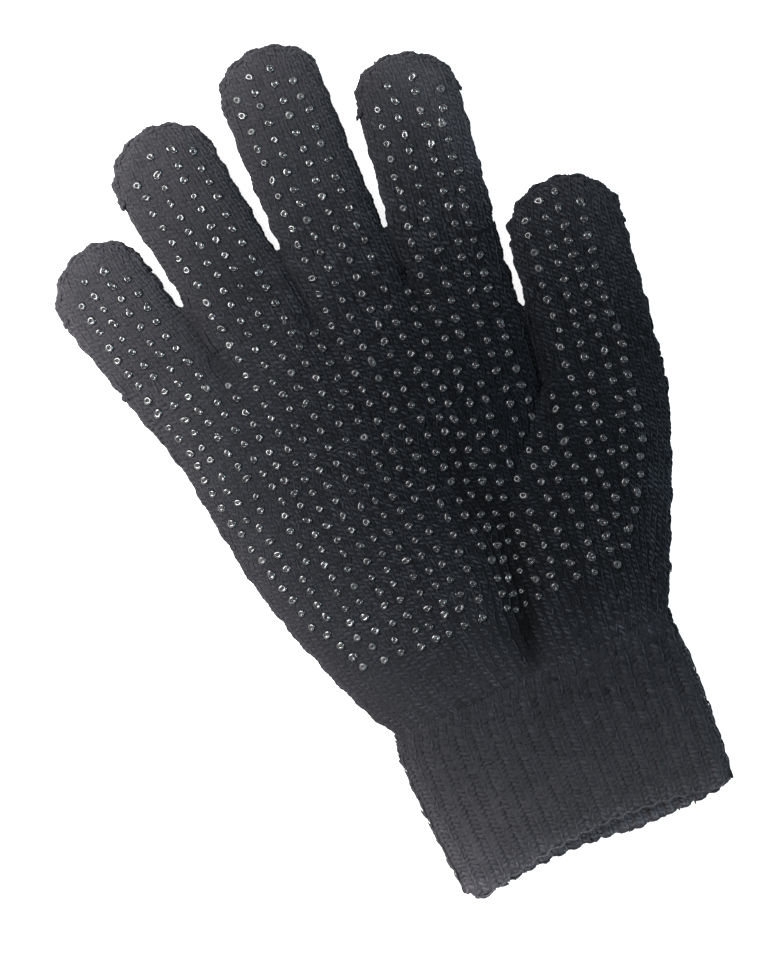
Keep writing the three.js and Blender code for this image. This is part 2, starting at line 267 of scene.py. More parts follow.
def near_line(places, way, values):
    """How far places are from a line in plan, in millimetres, and the value along it there."""
    flat = places[..., :2] / MM
    gap = np.full(flat.shape[:-1], 1e9)
    value = np.zeros(flat.shape[:-1])
    way = np.array(way, float)
    for a, b, va, vb in zip(way, way[1:], values, values[1:]):
        step = b - a
        t = np.clip(((flat - a) @ step) / (step @ step), 0, 1)
        here = np.linalg.norm(flat - a - t[..., None] * step, axis=-1)
        value = np.where(here < gap, va + (vb - va) * t, value)
        gap = np.minimum(gap, here)
    return gap, value


# The fold at the root of the thumb, where the palm has closed round something and stayed so. Its
# depth draws the palm in; its dark values are painted shade in the fold.
CREASE = {
    "way": [
        (6.8, 6), (6.4, -3.3), (4.8, -13), (8.2, -21), (9.5, -28), (7.4, -39), (5.6, -46), (3.4, -52),
        (2.0, -57), (0.6, -63),
    ],
    "depth": [0.0, 0.5, 0.7, 1.0, 1.2, 1.4, 1.5, 1.2, 0.6, 0.0], "deep": 5.0,
    "dark": [0.0, 0.4, 0.45, 0.5, 0.55, 0.7, 0.88, 0.88, 0.65, 0.0], "wide": 3.4,
}
# The furrows between the fingers, with painted shade from where they part down into the palm.
FURROWS = [
    CREASE,
    {"way": [(-40.6, 59.5), (-38.4, 43), (-36.4, 24)], "dark": [0.2, 0.25, 0.0], "wide": 2.2},
    {"way": [(-12.8, 62.5), (-11.9, 43), (-12.3, 24)], "dark": [0.2, 0.3, 0.0], "wide": 2.2},
    {"way": [(14.4, 56), (13.6, 42), (11.2, 22)], "dark": [0.2, 0.3, 0.0], "wide": 2.2},
    {"way": [(37.8, 24), (34.5, 3.6), (32.5, -12)], "dark": [0.3, 0.45, 0.0], "wide": 2.0},
]
# Patches of painted light over the painted falloff: along the hand's edges, beside the fold and over
# the wrist. A share below 0 is a patch of painted shade.
PAINTED_PATCHES = [
    {"way": [(-57, 42), (-52, 5), (-48, -40)], "pale": [0.15, 0.2, 0.25], "wide": 5},
    {"way": [(29, 91), (40, 84), (43, 50)], "pale": [0.2, 0.4, 0.45], "wide": 5},
    {"way": [(62, 6), (57, -14), (51, -32), (44, -46)], "pale": [-0.15, 0.15, 0.75, 0.2], "wide": 7},
    {"way": [(-28, 74), (-25, 56)], "pale": [-0.1, -0.28], "wide": 7},
    {"way": [(-5, -12), (-6, -34), (-8, -60)], "pale": [0.1, 0.25, 0.15], "wide": 6},
    {"way": [(-2, -65), (32, -64)], "pale": [0.1, 0.2], "wide": 5},
    {"way": [(-35, -84), (-32, -106), (-16, -106)], "pale": [0.05, 0.24, 0.15], "wide": 7},
]


def dip(places):
    """How far the palm is drawn in by the fold at these places, in metres."""
    gap, depth = near_line(places, CREASE["way"], CREASE["depth"])
    above = np.clip((places[..., 2] / MM - 5) / 3, 0, 1)
    return above * depth * np.exp(-((gap / CREASE["deep"]) ** 2)) * MM


def shade(places):
    """The painted light and shade of the wool at these places: below 1 with painted shade in a furrow,
    above 1 in a patch of painted light.
    """
    tone = np.ones(places.shape[:-1])
    for furrow in FURROWS:
        gap, dark = near_line(places, furrow["way"], furrow["dark"])
        tone *= 1 - dark * np.exp(-((gap / furrow["wide"]) ** 2))
    for patch in PAINTED_PATCHES:
        gap, pale = near_line(places, patch["way"], patch["pale"])
        tone *= 1 + pale * np.exp(-((gap / patch["wide"]) ** 2))
    return tone


def vigour(places):
    """How crisp the loops are: 1 in the painted shade of the falloff's middle, 0 where its painted
    light is strong and the loops are felted flat.
    """
    off = places[..., :2] - np.array(PAINTED_FALLOFF["centre"][:2])
    c, s = math.cos(PAINTED_FALLOFF["turned"]), math.sin(PAINTED_FALLOFF["turned"])
    across = (off[..., 0] * c + off[..., 1] * s) / PAINTED_FALLOFF["across"]
    along = (off[..., 1] * c - off[..., 0] * s) / PAINTED_FALLOFF["along"]
    return smooth((0.7 - np.hypot(across, along)) / 0.45)


rounded_nodes = {node: rounded_copy(node) for node in FABRIC_NODES}
trees = {node: tree_of(mesh) for node, mesh in rounded_nodes.items()}


def plumb(node, x, y, side=1, level=WELL_ABOVE):
    """Where a plumb line meets a node from above, 1, or from below, -1, and the normal there."""
    return trees[node].ray_cast(Vector((x, y, side * level)), Vector((0, 0, -side)))[:2]


def top_of(nodes, x, y):
    """The highest point of these nodes over a place in plan, its normal and its node."""
    best = None
    for node in nodes:
        place, normal = plumb(node, x, y)
        if place is not None and (best is None or place.z > best[0].z):
            best = (place, normal, node)
    return best


# The hem of the cuff, which has lost its ribs and rolled into a soft edge.
CUFF_TOP = -62.8
CUFF_HEM = -108.6
PALM_LAYER_HEM = {"rise": 5.0, "at": -1.5, "reach": 35}
BACK_LAYER_HEM = {"rise": 2.2, "at": -14, "reach": 22}
CORNERS = {"left": 3.6, "right": 1.4, "power": 14, "middle": -1.5, "half": 36}
HEM_SOFT = 9
HEM_DROOP = 2.2
HEM_CURL = 1.7


def hem_line(x, side):
    """Where the edge of the palm's layer, 1, or of the back's layer, -1, is along Y."""
    hem = PALM_LAYER_HEM if side > 0 else BACK_LAYER_HEM
    rise = hem["rise"] * np.maximum(0, 1 - ((x - hem["at"]) / hem["reach"]) ** 2)
    across = np.clip((x - CORNERS["middle"]) / CORNERS["half"], -1, 1)
    corner = np.where(across < 0, CORNERS["left"], CORNERS["right"]) * np.abs(across) ** CORNERS["power"]
    return CUFF_HEM + rise + corner


def droop(places, hollow):
    """How the heights change at the hem: the palm's layer sinks towards the back's, whose edge,
    where hollow is 1, curls up to meet it."""
    x, y, z = (places[..., i] / MM for i in range(3))
    near = smooth((hem_line(x, 1) + HEM_SOFT - y) / HEM_SOFT)
    sunk = HEM_DROOP * smooth((z - 3.2) / 2.4)
    curled = HEM_CURL * hollow * smooth(3.8 - z)
    return near * (curled - sunk) * MM


# Each tube's neighbours on its left and right, and the Y below which the two touch.
NEIGHBOURS = {
    "little_finger": ((None, 0), ("ring_finger", 57.7)),
    "ring_finger": (("little_finger", 57.7), ("middle_finger", 60.8)),
    "middle_finger": (("ring_finger", 60.8), ("index_finger", 54.2)),
    "index_finger": (("middle_finger", 54.2), (None, 0)),
    "thumb": (("palm_body", 22.2), (None, 0)),
    "palm_body": ((None, 0), ("thumb", 22.2)),
    "rib_cuff": ((None, 0), (None, 0)),
}
TOUCH = 0.3
# The waves of a knitted edge: how high, how fast along Y, and how many times its side's phase.
EDGE_WAVES = [(0.1, 2.85, 1), (0.2, 1.13, 2), (0.17, 0.61, 3)]
TOUCH_FADE = 3
WIDEST_SWELL = 1.6


def swelling(node, place, normal):
    """How far a point of a folded side moves outwards: the knitted edge waves a little from course to
    course, the cuff's edge steps from loop to loop, and next to its neighbour a tube swells until
    the two touch."""
    flank = Vector((normal.x, normal.y, 0))
    share = flank.length_squared
    if share < 0.02:
        return Vector((0, 0, 0))
    way = flank.normalized()
    x, y = place.x / MM, place.y / MM
    phase = 1.3 * math.copysign(1, way.x) + 0.09 * x
    reach = sum(high * math.sin(fast * y + times * phase) for high, fast, times in EDGE_WAVES) - 0.05
    if node == "rib_cuff":
        stepped = 0.2 * math.sin(1.75 * y + 1.1 + phase) + 0.16 * math.sin(0.9 * y + 0.6) - 0.1
        reach += (stepped - reach) * float(smooth((CUFF_TOP - y) / 4))
    neighbour, closed = NEIGHBOURS[node][0 if way.x < 0 else 1]
    if neighbour is not None and y < closed + TOUCH_FADE / 2:
        across = trees[neighbour].ray_cast(place + way * 0.01 * MM, way, 6 * MM)
        if across[0] is not None:
            touching = float(smooth((closed + TOUCH_FADE / 2 - y) / TOUCH_FADE))
            reach += (min(across[3] / 2 / MM, WIDEST_SWELL) + TOUCH - reach) * touching
    return way * reach * share * MM


# The ribs are worn nearly flat: what share of their relief is left, and their spacing. They begin
# over some length below the wrist.
RIB_SHARE = 0.35
RIB_PERIOD = 4.07
RIB_START = 11


def evened(place, side):
    """The height of the cuff's palm side, 1, or back, -1, at a place, with its ribs worn down."""
    levels = []
    for quarter in (-2, -1, 0, 1, 2):
        found = plumb("rib_cuff", place.x + quarter * RIB_PERIOD / 4 * MM, place.y, side)[0]
        if found is None or (found.z - FOLD_LEVEL) * side < 0:
            return place.z
        levels.append(found.z)
    mean = (levels[0] + levels[4]) / 8 + sum(levels[1:4]) / 4
    below, left = CUFF_TOP - place.y / MM, place.y / MM - hem_line(place.x / MM, side)
    share = RIB_SHARE * smooth(below / RIB_START) * (0.2 + 0.8 * smooth((left - 1) / 5))
    return mean + (place.z - mean) * float(share)


# First the outer skin takes its shape. A point of the hollow sees the wall across from it.
HUNG_CORNER = Vector((-36, -106))
HUNG_REACH = 5
HUNG_BY = Vector((-0.5, -0.6, 0))
outer_side = {}
for node, rounded in rounded_nodes.items():
    outside = []
    for vertex, normal in zip(rounded.vertices, [v.normal.copy() for v in rounded.vertices]):
        across = trees[node].ray_cast(vertex.co + normal * 0.2 * MM, normal, HOLLOW_REACH)
        outside.append(across[0] is None and abs(normal.y) < 0.8)
        if node == "rib_cuff":
            # The corner of the hem hangs down a little.
            off = (Vector(vertex.co[:2]) / MM - HUNG_CORNER) / HUNG_REACH
            vertex.co += HUNG_BY * math.exp(-off.length_squared) * MM
        if outside[-1]:
            shift = swelling(node, vertex.co, normal)
            if node == "rib_cuff" and abs(normal.z) > 0.4:
                shift.z = evened(vertex.co, math.copysign(1, normal.z)) - vertex.co.z
            vertex.co += shift
    outer_side[node] = outside
    rounded.update()
trees = {node: tree_of(mesh) for node, mesh in rounded_nodes.items()}

# Where one tube was knitted on from another, with the CAD nodes on its near and its far side, and
# how much the hollow between the two slopes is filled.
SEAMS = [
    {"near": ["palm_body"], "far": ["little_finger", "ring_finger", "middle_finger", "index_finger"],
     "through": (0, 43.15), "lean": 0, "reach": 8, "filled": 0},
    {"near": ["rib_cuff"], "far": ["palm_body"],
     "through": (0, -62.65), "lean": 0, "reach": 7, "filled": 0.32},
    {"near": ["palm_body"], "far": ["thumb"],
     "through": (48.83, 0.29), "lean": -13.4, "reach": 8, "filled": 0},
]
SEAM_GRASP = 0.45
BESIDE_SEAM = 0.35
HIGHEST_STEP = 1.8
for seam in SEAMS:
    lean = math.radians(seam["lean"])
    seam["axis"] = np.array([-math.sin(lean), math.cos(lean)])
    seam["across"] = np.array([math.cos(lean), math.sin(lean)])
    seam["spots"] = np.arange(-75, 75, 0.5)
    steps = []
    for spot in seam["spots"]:
        middle = np.array(seam["through"]) + seam["across"] * spot
        near = top_of(seam["near"], *(middle - seam["axis"] * BESIDE_SEAM) * MM)
        far = top_of(seam["far"], *(middle + seam["axis"] * BESIDE_SEAM) * MM)
        both = near and far and min(near[0].z, far[0].z) > 4.0 * MM
        steps.append(far[0].z - near[0].z if both else 0.0)
    steps = np.clip(steps, -HIGHEST_STEP * MM, HIGHEST_STEP * MM)
    seam["steps"] = np.convolve(steps, np.ones(5) / 5, "same")


def settle(node, places):
    """Brings the heights of two tubes together next to the seam between them."""
    places = places.copy()
    for seam in SEAMS:
        if node in seam["near"] + seam["far"]:
            off = places[..., :2] / MM - seam["through"]
            ahead = np.abs(off @ seam["axis"])
            step = np.interp(off @ seam["across"], seam["spots"], seam["steps"])
            share = 0.5 * (1 - smooth(ahead / seam["reach"]))
            upper = smooth((places[..., 2] - FOLD_LEVEL) / (3 * MM))
            places[..., 2] += step * share * upper * (1 if node in seam["near"] else -1)
            rounding = np.clip(1 - ahead / 10, 0, 1) ** 2
            places[..., 2] += seam["filled"] * rounding * upper * MM
    if node == "palm_body":
        places[..., 2] -= dip(places)
    if node == "rib_cuff":
        places[..., 2] += droop(places, 0.0)
    return places


def surface(x, y):
    """The highest point of the fabric over a place in plan, where it lies in the end, and its normal."""
    found = top_of(FABRIC_NODES, x, y)
    return (settle(found[2], np.array(found[0][:])), found[1]) if found else None


# Then the outer side gives way to the stitches, and next to a seam the two tubes meet.
for node, rounded in rounded_nodes.items():
    for vertex, normal, outside in zip(rounded.vertices, [v.normal.copy() for v in rounded.vertices],
                                       outer_side[node]):
        if outside:
            vertex.co -= normal * (STITCH_DEPTH + FOLD_DEPTH * (1 - normal.z ** 2))
        for seam in SEAMS:
            ahead = float((np.array(vertex.co[:2]) / MM - seam["through"]) @ seam["axis"])
            reaches = ahead > -SEAM_GRASP if node in seam["near"] else ahead < SEAM_GRASP
            if node in seam["near"] + seam["far"] and reaches and abs(ahead) < SEAM_GRASP:
                vertex.co -= Vector((*seam["axis"], 0)) * ahead * MM
                vertex.co.z += STITCH_DEPTH / 2 * max(0, normal.z)
    places = np.array([v.co[:] for v in rounded.vertices])
    # Painted shade on the fabric between the loops: its own deep shade, the furrows' shade and the patches'
    # light, and more painted shade towards the falloff's middle, less on the cuff.
    calm = smooth((places[:, 1] / MM - CUFF_TOP) / 16)
    tones = PAINTED_DEEP_SHADE * shade(places) * (1 - (0.2 + 0.32 * calm) * vigour(places))
    settled = settle(node, places)
    if node == "rib_cuff":
        rising = np.array([v.normal.z > 0.3 for v in rounded.vertices])
        curl = droop(places, rising * (places[:, 2] < 3.8 * MM)) - droop(places, 0.0)
        settled[:, 2] += curl
        # The curled-up edge of the back's layer gets painted light against the shade of the mouth.
        tones *= 1 + 0.9 * curl / (HEM_CURL * MM)
    tone = rounded.attributes.new("tone", "FLOAT", "POINT")
    tone.data.foreach_set("value", tones.astype(np.float32))
    rounded.vertices.foreach_set("co", settled.reshape(-1).astype(np.float32))
    rounded.update()
    fabric = add_piece(node + "_fabric", rounded, "rib_knit" if node == "rib_cuff" else "plain_knit")
    rounded.set_sharp_from_angle(angle=RIM_ANGLE)
    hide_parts(node)

# The stitches. Each loop shows two legs: the right one lies nearly along its wale, so a wale ends
# in one long line, and the left one slants across it as a short dash.
FEEL_STEP = 0.6 * MM
FOLD_ROUND = 4 * MM
FOLD_SWEEP = np.radians(np.linspace(2, 90, 9)[:-1])
BESIDE_GLOVE = 120 * MM
BESIDE_FOLD = 25 * MM
USUAL_COURSE = 1.3
USUAL_WALE = 2.0
COURSE = USUAL_COURSE * MM
WALE = USUAL_WALE * MM
COURSE_RANGE = (0.9 * MM, 1.7 * MM)
PHASE = 0.35
TUCK = 0.62
SLANT_SPREAD = 8
SIZE_SPREAD = 0.09
PLACE_SPREAD = 0.06
rng = np.random.default_rng(7)

grain_shape = bmesh.new()
bmesh.ops.create_icosphere(grain_shape, subdivisions=1, radius=1)
grain_shape.faces.ensure_lookup_table()
blunt = grain_shape.faces[0].normal.rotation_difference(Vector((0, 0, 1))).to_matrix()
bmesh.ops.rotate(grain_shape, verts=grain_shape.verts, cent=(0, 0, 0), matrix=blunt)
bmesh.ops.scale(grain_shape, verts=grain_shape.verts, vec=(1, 1, 1.15))
GRAIN = np.array([v.co[:] for v in grain_shape.verts])
GRAIN_FACES = np.array([[v.index for v in f.verts] for f in grain_shape.faces])
grain_shape.free()

# A leg in its cell: its middle across in wales, its slant, half its length and half its width in
# millimetres for a usual wale and course, and half its thickness. Its tone, painted light on the raised
# leg over the painted shade between the loops, is given for felted and for crisp wool, and uneven says
# how unevenly deep crisp loops lie.
PLAIN_LEGS = [
    {"across": 0.29, "slant": 5, "length": 1.2, "width": 0.34, "thick": 0.30, "lift": 0.0,
     "tone": (1.09, 1.12), "uneven": 0.06},
    {"across": -0.17, "slant": -47, "length": 1.1, "width": 0.46, "thick": 0.26, "lift": -0.05,
     "tone": (1.04, 1.55), "uneven": 0.02},
]


def fold_end(tree, line, inside, outward):
    """Where a course goes over the folded side: the outermost point there and the way out."""
    x = inside
    for _ in range(3):
        slope = (line(x + MM) - line(x - MM)) / (2 * MM)
        way = Vector((outward, outward * slope, 0)).normalized()
        place = tree.ray_cast(Vector((x, line(x), FOLD_LEVEL)) + way * BESIDE_GLOVE, -way)[0]
        if place is None:
            return None
        x = place.x
    return place, way


def course(node, line, inside, side, left=None, right=None):
    """Feels along one course of the fabric, from left to right. line gives y at each x.
    side is 1 for the palm and -1 for the back. Where left or right is None the course runs
    round to the outermost point of the fold, else it ends at that x."""
    tree = trees[node]
    places, normals = [], []

    def feel(origin, direction):
        place, normal, _, _ = tree.ray_cast(origin, direction)
        if place is not None:
            places.append(place[:])
            normals.append(normal[:])

    ends = [fold_end(tree, line, inside, -1) if left is None else None,
            fold_end(tree, line, inside, 1) if right is None else None]
    if (left is None and ends[0] is None) or (right is None and ends[1] is None):
        return None
    x0 = ends[0][0].x if left is None else left
    x1 = ends[1][0].x if right is None else right
    turn = min(FOLD_ROUND, 0.4 * (x1 - x0))
    rise = Vector((0, 0, side))

    def round_fold(end, angles):
        place, way = end
        pivot = place - way * turn
        for angle in angles:
            out = way * math.cos(angle) + rise * math.sin(angle)
            feel(pivot + out * BESIDE_FOLD, -out)

    if left is None:
        round_fold(ends[0], FOLD_SWEEP)
        x0 += turn
    if right is None:
        x1 -= turn
    for x in np.linspace(x0, x1, max(3, int((x1 - x0) / FEEL_STEP))):
        feel(Vector((x, line(x), side * WELL_ABOVE)), -rise)
    if right is None:
        round_fold(ends[1], FOLD_SWEEP[::-1])
    places = np.array(places)
    along = distances(places)
    return {"places": places, "normals": np.array(normals), "along": along, "length": along[-1]}


def distances(way):
    """How far each point of a way is from its start, measured along it."""
    return np.concatenate([[0], np.cumsum(np.linalg.norm(np.diff(way, axis=0), axis=1))])


def pick(spots, along, table):
    """What a table of places or directions says at these distances along it."""
    return np.stack([np.interp(spots, along, column) for column in table.T], axis=1)


def at(felt, spots):
    """Places and normals at these distances along a felt course."""
    return pick(spots, felt["along"], felt["places"]), unit(pick(spots, felt["along"], felt["normals"]))


def unit(vectors):
    return vectors / np.maximum(np.linalg.norm(vectors, axis=-1, keepdims=True), 1e-12)


def grains(places, axes, widths, outs, sizes):
    """Copies of the grain: sizes holds half its length, its width and its thickness."""
    z, x, y = (GRAIN[None, :, i, None] for i in (2, 0, 1))
    long_, wide, thick = (sizes[:, None, i, None] for i in range(3))
    bent = y - 0.45 * z ** 2
    return (places[:, None] + axes[:, None] * z * long_ + widths[:, None] * x * wide
            + outs[:, None] * bent * thick)


def mesh_of(name, corners, faces, tones):
    """One mesh out of many copies: corners are (copies, corners, 3)."""
    copies, each = corners.shape[:2]
    mesh = bpy.data.meshes.new(name)
    mesh.vertices.add(copies * each)
    mesh.vertices.foreach_set("co", corners.reshape(-1).astype(np.float32))
    around = np.concatenate(faces)
    starts = np.cumsum([0] + [len(face) for face in faces])[:-1]
    nth = np.arange(copies)[:, None]
    mesh.loops.add(copies * len(around))
    mesh.loops.foreach_set("vertex_index", (around + nth * each).reshape(-1).astype(np.int32))
    mesh.polygons.add(copies * len(faces))
    mesh.polygons.foreach_set("loop_start", (starts + nth * len(around)).reshape(-1).astype(np.int32))
    tone = mesh.attributes.new("tone", "FLOAT", "POINT")
    tone.data.foreach_set("value", np.repeat(tones, each).astype(np.float32))
    mesh.update(calc_edges=True)
    return mesh


def add_stitches(name, parts, slot="plain_knit"):
    """A piece of many grains, each part given as its corners and its tones. Nothing reaches below the
    table: the cloth is pressed flat where it lies."""
    corners, tones = (np.concatenate(kind) for kind in zip(*parts))
    corners[..., 2] = np.maximum(corners[..., 2], 0.01 * MM)
    add_piece(name, mesh_of(name, corners, GRAIN_FACES, tones), slot)


def legs_on(grid, out, shown, legs, wale, pitch, sink=0.0, tint=1.0):
    """The corners and the tones of the legs of every stitch of a grid [course, wale]. The grid runs
    towards the fingertips."""
    forward = unit(np.gradient(grid, axis=0))
    right = unit(np.cross(forward, out))
    out = np.cross(right, forward)
    # Painted light on the steep flanks of the tubes, up to a fifth more than on top.
    shades = (shade(grid) * tint * (1 + 0.2 * (1 - out[..., 2] ** 2)))[shown]
    crisp = vigour(grid)[shown]
    sink = np.broadcast_to(sink, grid.shape[:2])[shown][:, None]
    phase = np.broadcast_to(rng.uniform(-PHASE, PHASE, grid.shape[1]), grid.shape[:2])[shown][:, None]
    count = len(crisp)
    p, n, f, r = grid[shown], out[shown], forward[shown], right[shown]
    w, c = wale[shown][:, None], pitch[shown][:, None]
    corners, tones = [], []
    for leg in legs:
        slant = np.radians(leg["slant"] + rng.normal(0, SLANT_SPREAD, count))[:, None]
        cos, sin = np.cos(slant), np.sin(slant)
        sizes = np.concatenate([
            leg["length"] * (c / USUAL_COURSE * cos ** 2 + w / USUAL_WALE * sin ** 2),
            leg["width"] * (1 - 0.18 * crisp[:, None])
            * (w / USUAL_WALE * cos ** 2 + c / USUAL_COURSE * sin ** 2),
            leg["thick"] * (0.82 + 0.18 * crisp[:, None]) * MM,
        ], axis=1) * rng.normal(1, SIZE_SPREAD, (count, 3))
        deep = rng.normal(0, 1, (count, 1)) * (0.02 + leg["uneven"] * crisp[:, None])
        lift = (leg["lift"] - TUCK * leg["thick"] - sink + deep) * MM
        middle = (p + r * w * leg["across"] + f * c * phase + n * lift
                  + rng.normal(0, PLACE_SPREAD, (count, 3)) * MM)
        corners.append(grains(middle, f * cos + r * sin, r * cos - f * sin, n, sizes))
        strength = leg["tone"][0] + (leg["tone"][1] - leg["tone"][0]) * crisp
        tones.append(shades * (1 + rng.normal(0, 1, count) * (0.06 + 0.28 * crisp)) * strength)
    return np.concatenate(corners), np.concatenate(tones)


def spacing(grid):
    """How far each stitch is from its neighbours, across and along."""
    across = np.linalg.norm(np.gradient(grid, axis=1), axis=2)
    along = np.linalg.norm(np.gradient(grid, axis=0), axis=2)
    return across, along


# The fingers and the thumb: tubes of straight wales. At the tip the wales stop at a rim, where
# the last loops are chained off round the edge and beside it.
DIGITS = [
    dict(zip(("name", "root", "lean", "turned", "length", "tip"), row)) for row in (
        ("little_finger", (-51.6, 43.3), 7.8, 0, 38.7, 11.6),
        ("ring_finger", (-25.0, 43.3), 5.0, 0, 59.2, 12.0),
        ("middle_finger", (0.9, 43.3), -2.0, 0, 65.7, 10.4),
        ("index_finger", (26.9, 43.3), -7.6, 0, 50.4, 10.8),
        ("thumb", (48.8, 0.15), -13.4, -13.4, 48.9, 12.0),
    )
]
DIGIT_WALE_RANGE = (1.4 * MM, 2.4 * MM)
TURN_LENGTH = 12
TIP_TURN = math.radians(100)
BESIDE_TIP = 40 * MM
CHAIN_STEP = 1.5 * MM
# The rounds of the chain: how far inside the rim, on the palm's side, 1, the back's, -1, or over the
# edge, 0, half the width of the loops, and how far above the fold they lie.
CHAIN_ROUNDS = [
    (0.0, 0, 0.9, 0.0), (0.9, 1, 0.62, 0.0), (0.9, -1, 0.62, 0.0),
    (0.0, 0, 0.62, 1.3), (0.0, 0, 0.62, -1.3), (0.0, 0, 0.62, -2.5),
]
roots = {}

for digit in DIGITS:
    lean = math.radians(digit["lean"])
    axis = np.array([-math.sin(lean), math.cos(lean)])
    parts = []
    alongs = np.arange(1.15, digit["length"] - 0.7, COURSE / MM)
    straight = digit["length"] - digit["tip"]
    for side in (1, -1):
        felt = []
        for along in alongs:
            turned = digit["turned"]
            slope = math.tan(math.radians(turned + (digit["lean"] - turned) * smooth(along / TURN_LENGTH)))
            origin = (np.array(digit["root"]) + axis * along) * MM

            def line(x, origin=origin, slope=slope):
                return origin[1] + slope * (x - origin[0])
            felt.append(course(digit["name"], line, origin[0], side))
        keep = [i for i, f in enumerate(felt) if f is not None and len(f["places"]) > 6]
        felt = [felt[i] for i in keep]
        lengths = np.array([f["length"] for f in felt])
        row_along = alongs[keep]
        body = lengths[row_along < straight]
        wales = 2 * int(body.mean() / WALE / 2) + 1
        roots[digit["name"], side] = {"wales": wales, "length": lengths[0]}
        grid, out, shown = [], [], []
        narrowing = np.clip(-np.gradient(lengths) / 2, 0, 4 * MM)
        for f, length, along, narrows in zip(felt, lengths, row_along, narrowing):
            span = length if along < straight else body[-1]
            margin = 0.4 * MM + 1.1 * narrows
            spots = length / 2 + ((np.arange(wales) + 0.5) / wales - 0.5) * span
            p, n = at(f, np.clip(spots, 0, length))
            grid.append(p)
            out.append(n)
            shown.append((spots > margin) & (spots < length - margin))
        grid, out, shown = settle(digit["name"], np.array(grid)), np.array(out), np.array(shown)
        out[0] = out[1]
        across, pitch = spacing(grid)
        across = np.where(shown, np.clip(across, *DIGIT_WALE_RANGE), WALE)
        pitch = np.clip(pitch, *COURSE_RANGE)
        parts.append(legs_on(grid, out, shown, PLAIN_LEGS, across, pitch))
    # The chained-off rim and the rounds beside it.
    hub = Vector((*(np.array(digit["root"]) + axis * (straight + 0.5)) * MM, FOLD_LEVEL))
    for inward, side, half, rise in CHAIN_ROUNDS:
        rim, outs = [], []
        for angle in np.arange(-TIP_TURN, TIP_TURN, 0.01):
            way = Vector((math.sin(angle - lean), math.cos(angle - lean), 0))
            start = hub + way * BESIDE_TIP + Vector((0, 0, rise * MM))
            place = trees[digit["name"]].ray_cast(start, -way)[0]
            if place is None:
                continue
            if side:
                inside = place - way * inward * MM
                place = plumb(digit["name"], inside.x, inside.y, side)[0]
            rim.append(place[:])
            outs.append(unit(np.array(way[:]) * (2 - abs(side)) + np.array([0, 0, side])))
        rim, outs = np.array(rim), np.array(outs)
        gone = distances(rim)
        spots = np.arange(0.4 * MM, gone[-1], CHAIN_STEP) + 0.4 * MM * abs(side)
        rim, outs = pick(spots, gone, rim), pick(spots, gone, outs)
        waves = 0.6 * np.sin(np.arange(len(rim)) * 0.8 + digit["lean"]) ** 2
        bulge = waves + rng.normal(-0.45, 0.06, len(rim))
        rim += outs * (bulge + 0.13 * abs(rise))[:, None] * MM
        along = unit(np.gradient(rim, axis=0))
        sizes = np.array([1.15, half, 0.52]) * MM * rng.normal(1, 0.08, (len(rim), 3))
        corners = grains(rim, along, unit(np.cross(outs, along)), outs, sizes)
        parts.append((corners, shade(rim) * rng.normal(1.05, 0.07, len(rim))))
    add_stitches(digit["name"] + "_stitches", parts)

# The palm and the back of the hand: the wales of the four fingers run on towards the wrist. As
# the hand narrows, some of them are knitted together with their neighbour and end.
PALM_TOP = 43.0
WRIST = -62.5
WALES_PER_FINGER = 13
ARCH = {"middle": -12, "right": 0.0026, "left": 0.0012, "from": 43, "peak": 5, "to": -45}
# Where the palm meets the thumb's base, X at each Y.
THUMB_LINE = {"y": [-62.5, -46, -35, -24, -13, -1, 4], "x": [26.5, 29.5, 31.2, 32.3, 31.8, 34.0, 35.0]}
# Which wales of the palm and of the thumb's base end, and at which Y.
ENDING_WALES = {
    1: 0, 3: -9, 5: -17, 7: -25, 9: -33, 11: -41, 38: -7, 41: -15, 44: -23, 35: -31, 47: -38, 50: -44,
    20: -30, 26: -42, 30: -50, 14: -47, 17: -53, 32: -36, 23: -48, 49: -27, 28: -46, 22: -39, 46: -50,
}
BASE_ENDING_WALES = {5: -16, 11: -22, 2: -28, 8: -32, 14: -36, 10: -40, 4: -44, 12: -48, 7: -52, 16: -55}
CROTCH = 4.2
CROTCH_FADE = 20
ALIGNED_FROM = 30
WALE_GONE = 0.45
PALM_WALE_RANGE = (1.3 * MM, 2.3 * MM)
RIBS_FROM = -49
RIBS_GROW = 11
BASE_COURSES = 49
# Y at the left and at the right end of the first course of the thumb's base, and its width.
BASE_TOP = {"left": 3.6, "right": -3.4, "wide": 28}


def arched(y):
    """A course of the palm is a shallow arch over the middle finger."""
    k = smooth((ARCH["from"] - y) / (ARCH["from"] - ARCH["peak"]))
    k *= smooth((y - ARCH["to"]) / (ARCH["peak"] - ARCH["to"]))

    def line(x):
        d = x / MM - ARCH["middle"]
        return (y - k * (ARCH["right"] if d > 0 else ARCH["left"]) * d * d) * MM
    return line


def shares(count, ending, y):
    """How far across each wale lies, from 0 to 1, and which are still there at this y."""
    weight = np.ones(count)
    for wale, end in ending.items():
        weight[wale] = smooth((y - end) / 8)
    edges = np.concatenate([[0], np.cumsum(weight)])
    return (edges[:-1] + edges[1:]) / 2 / edges[-1], weight > WALE_GONE


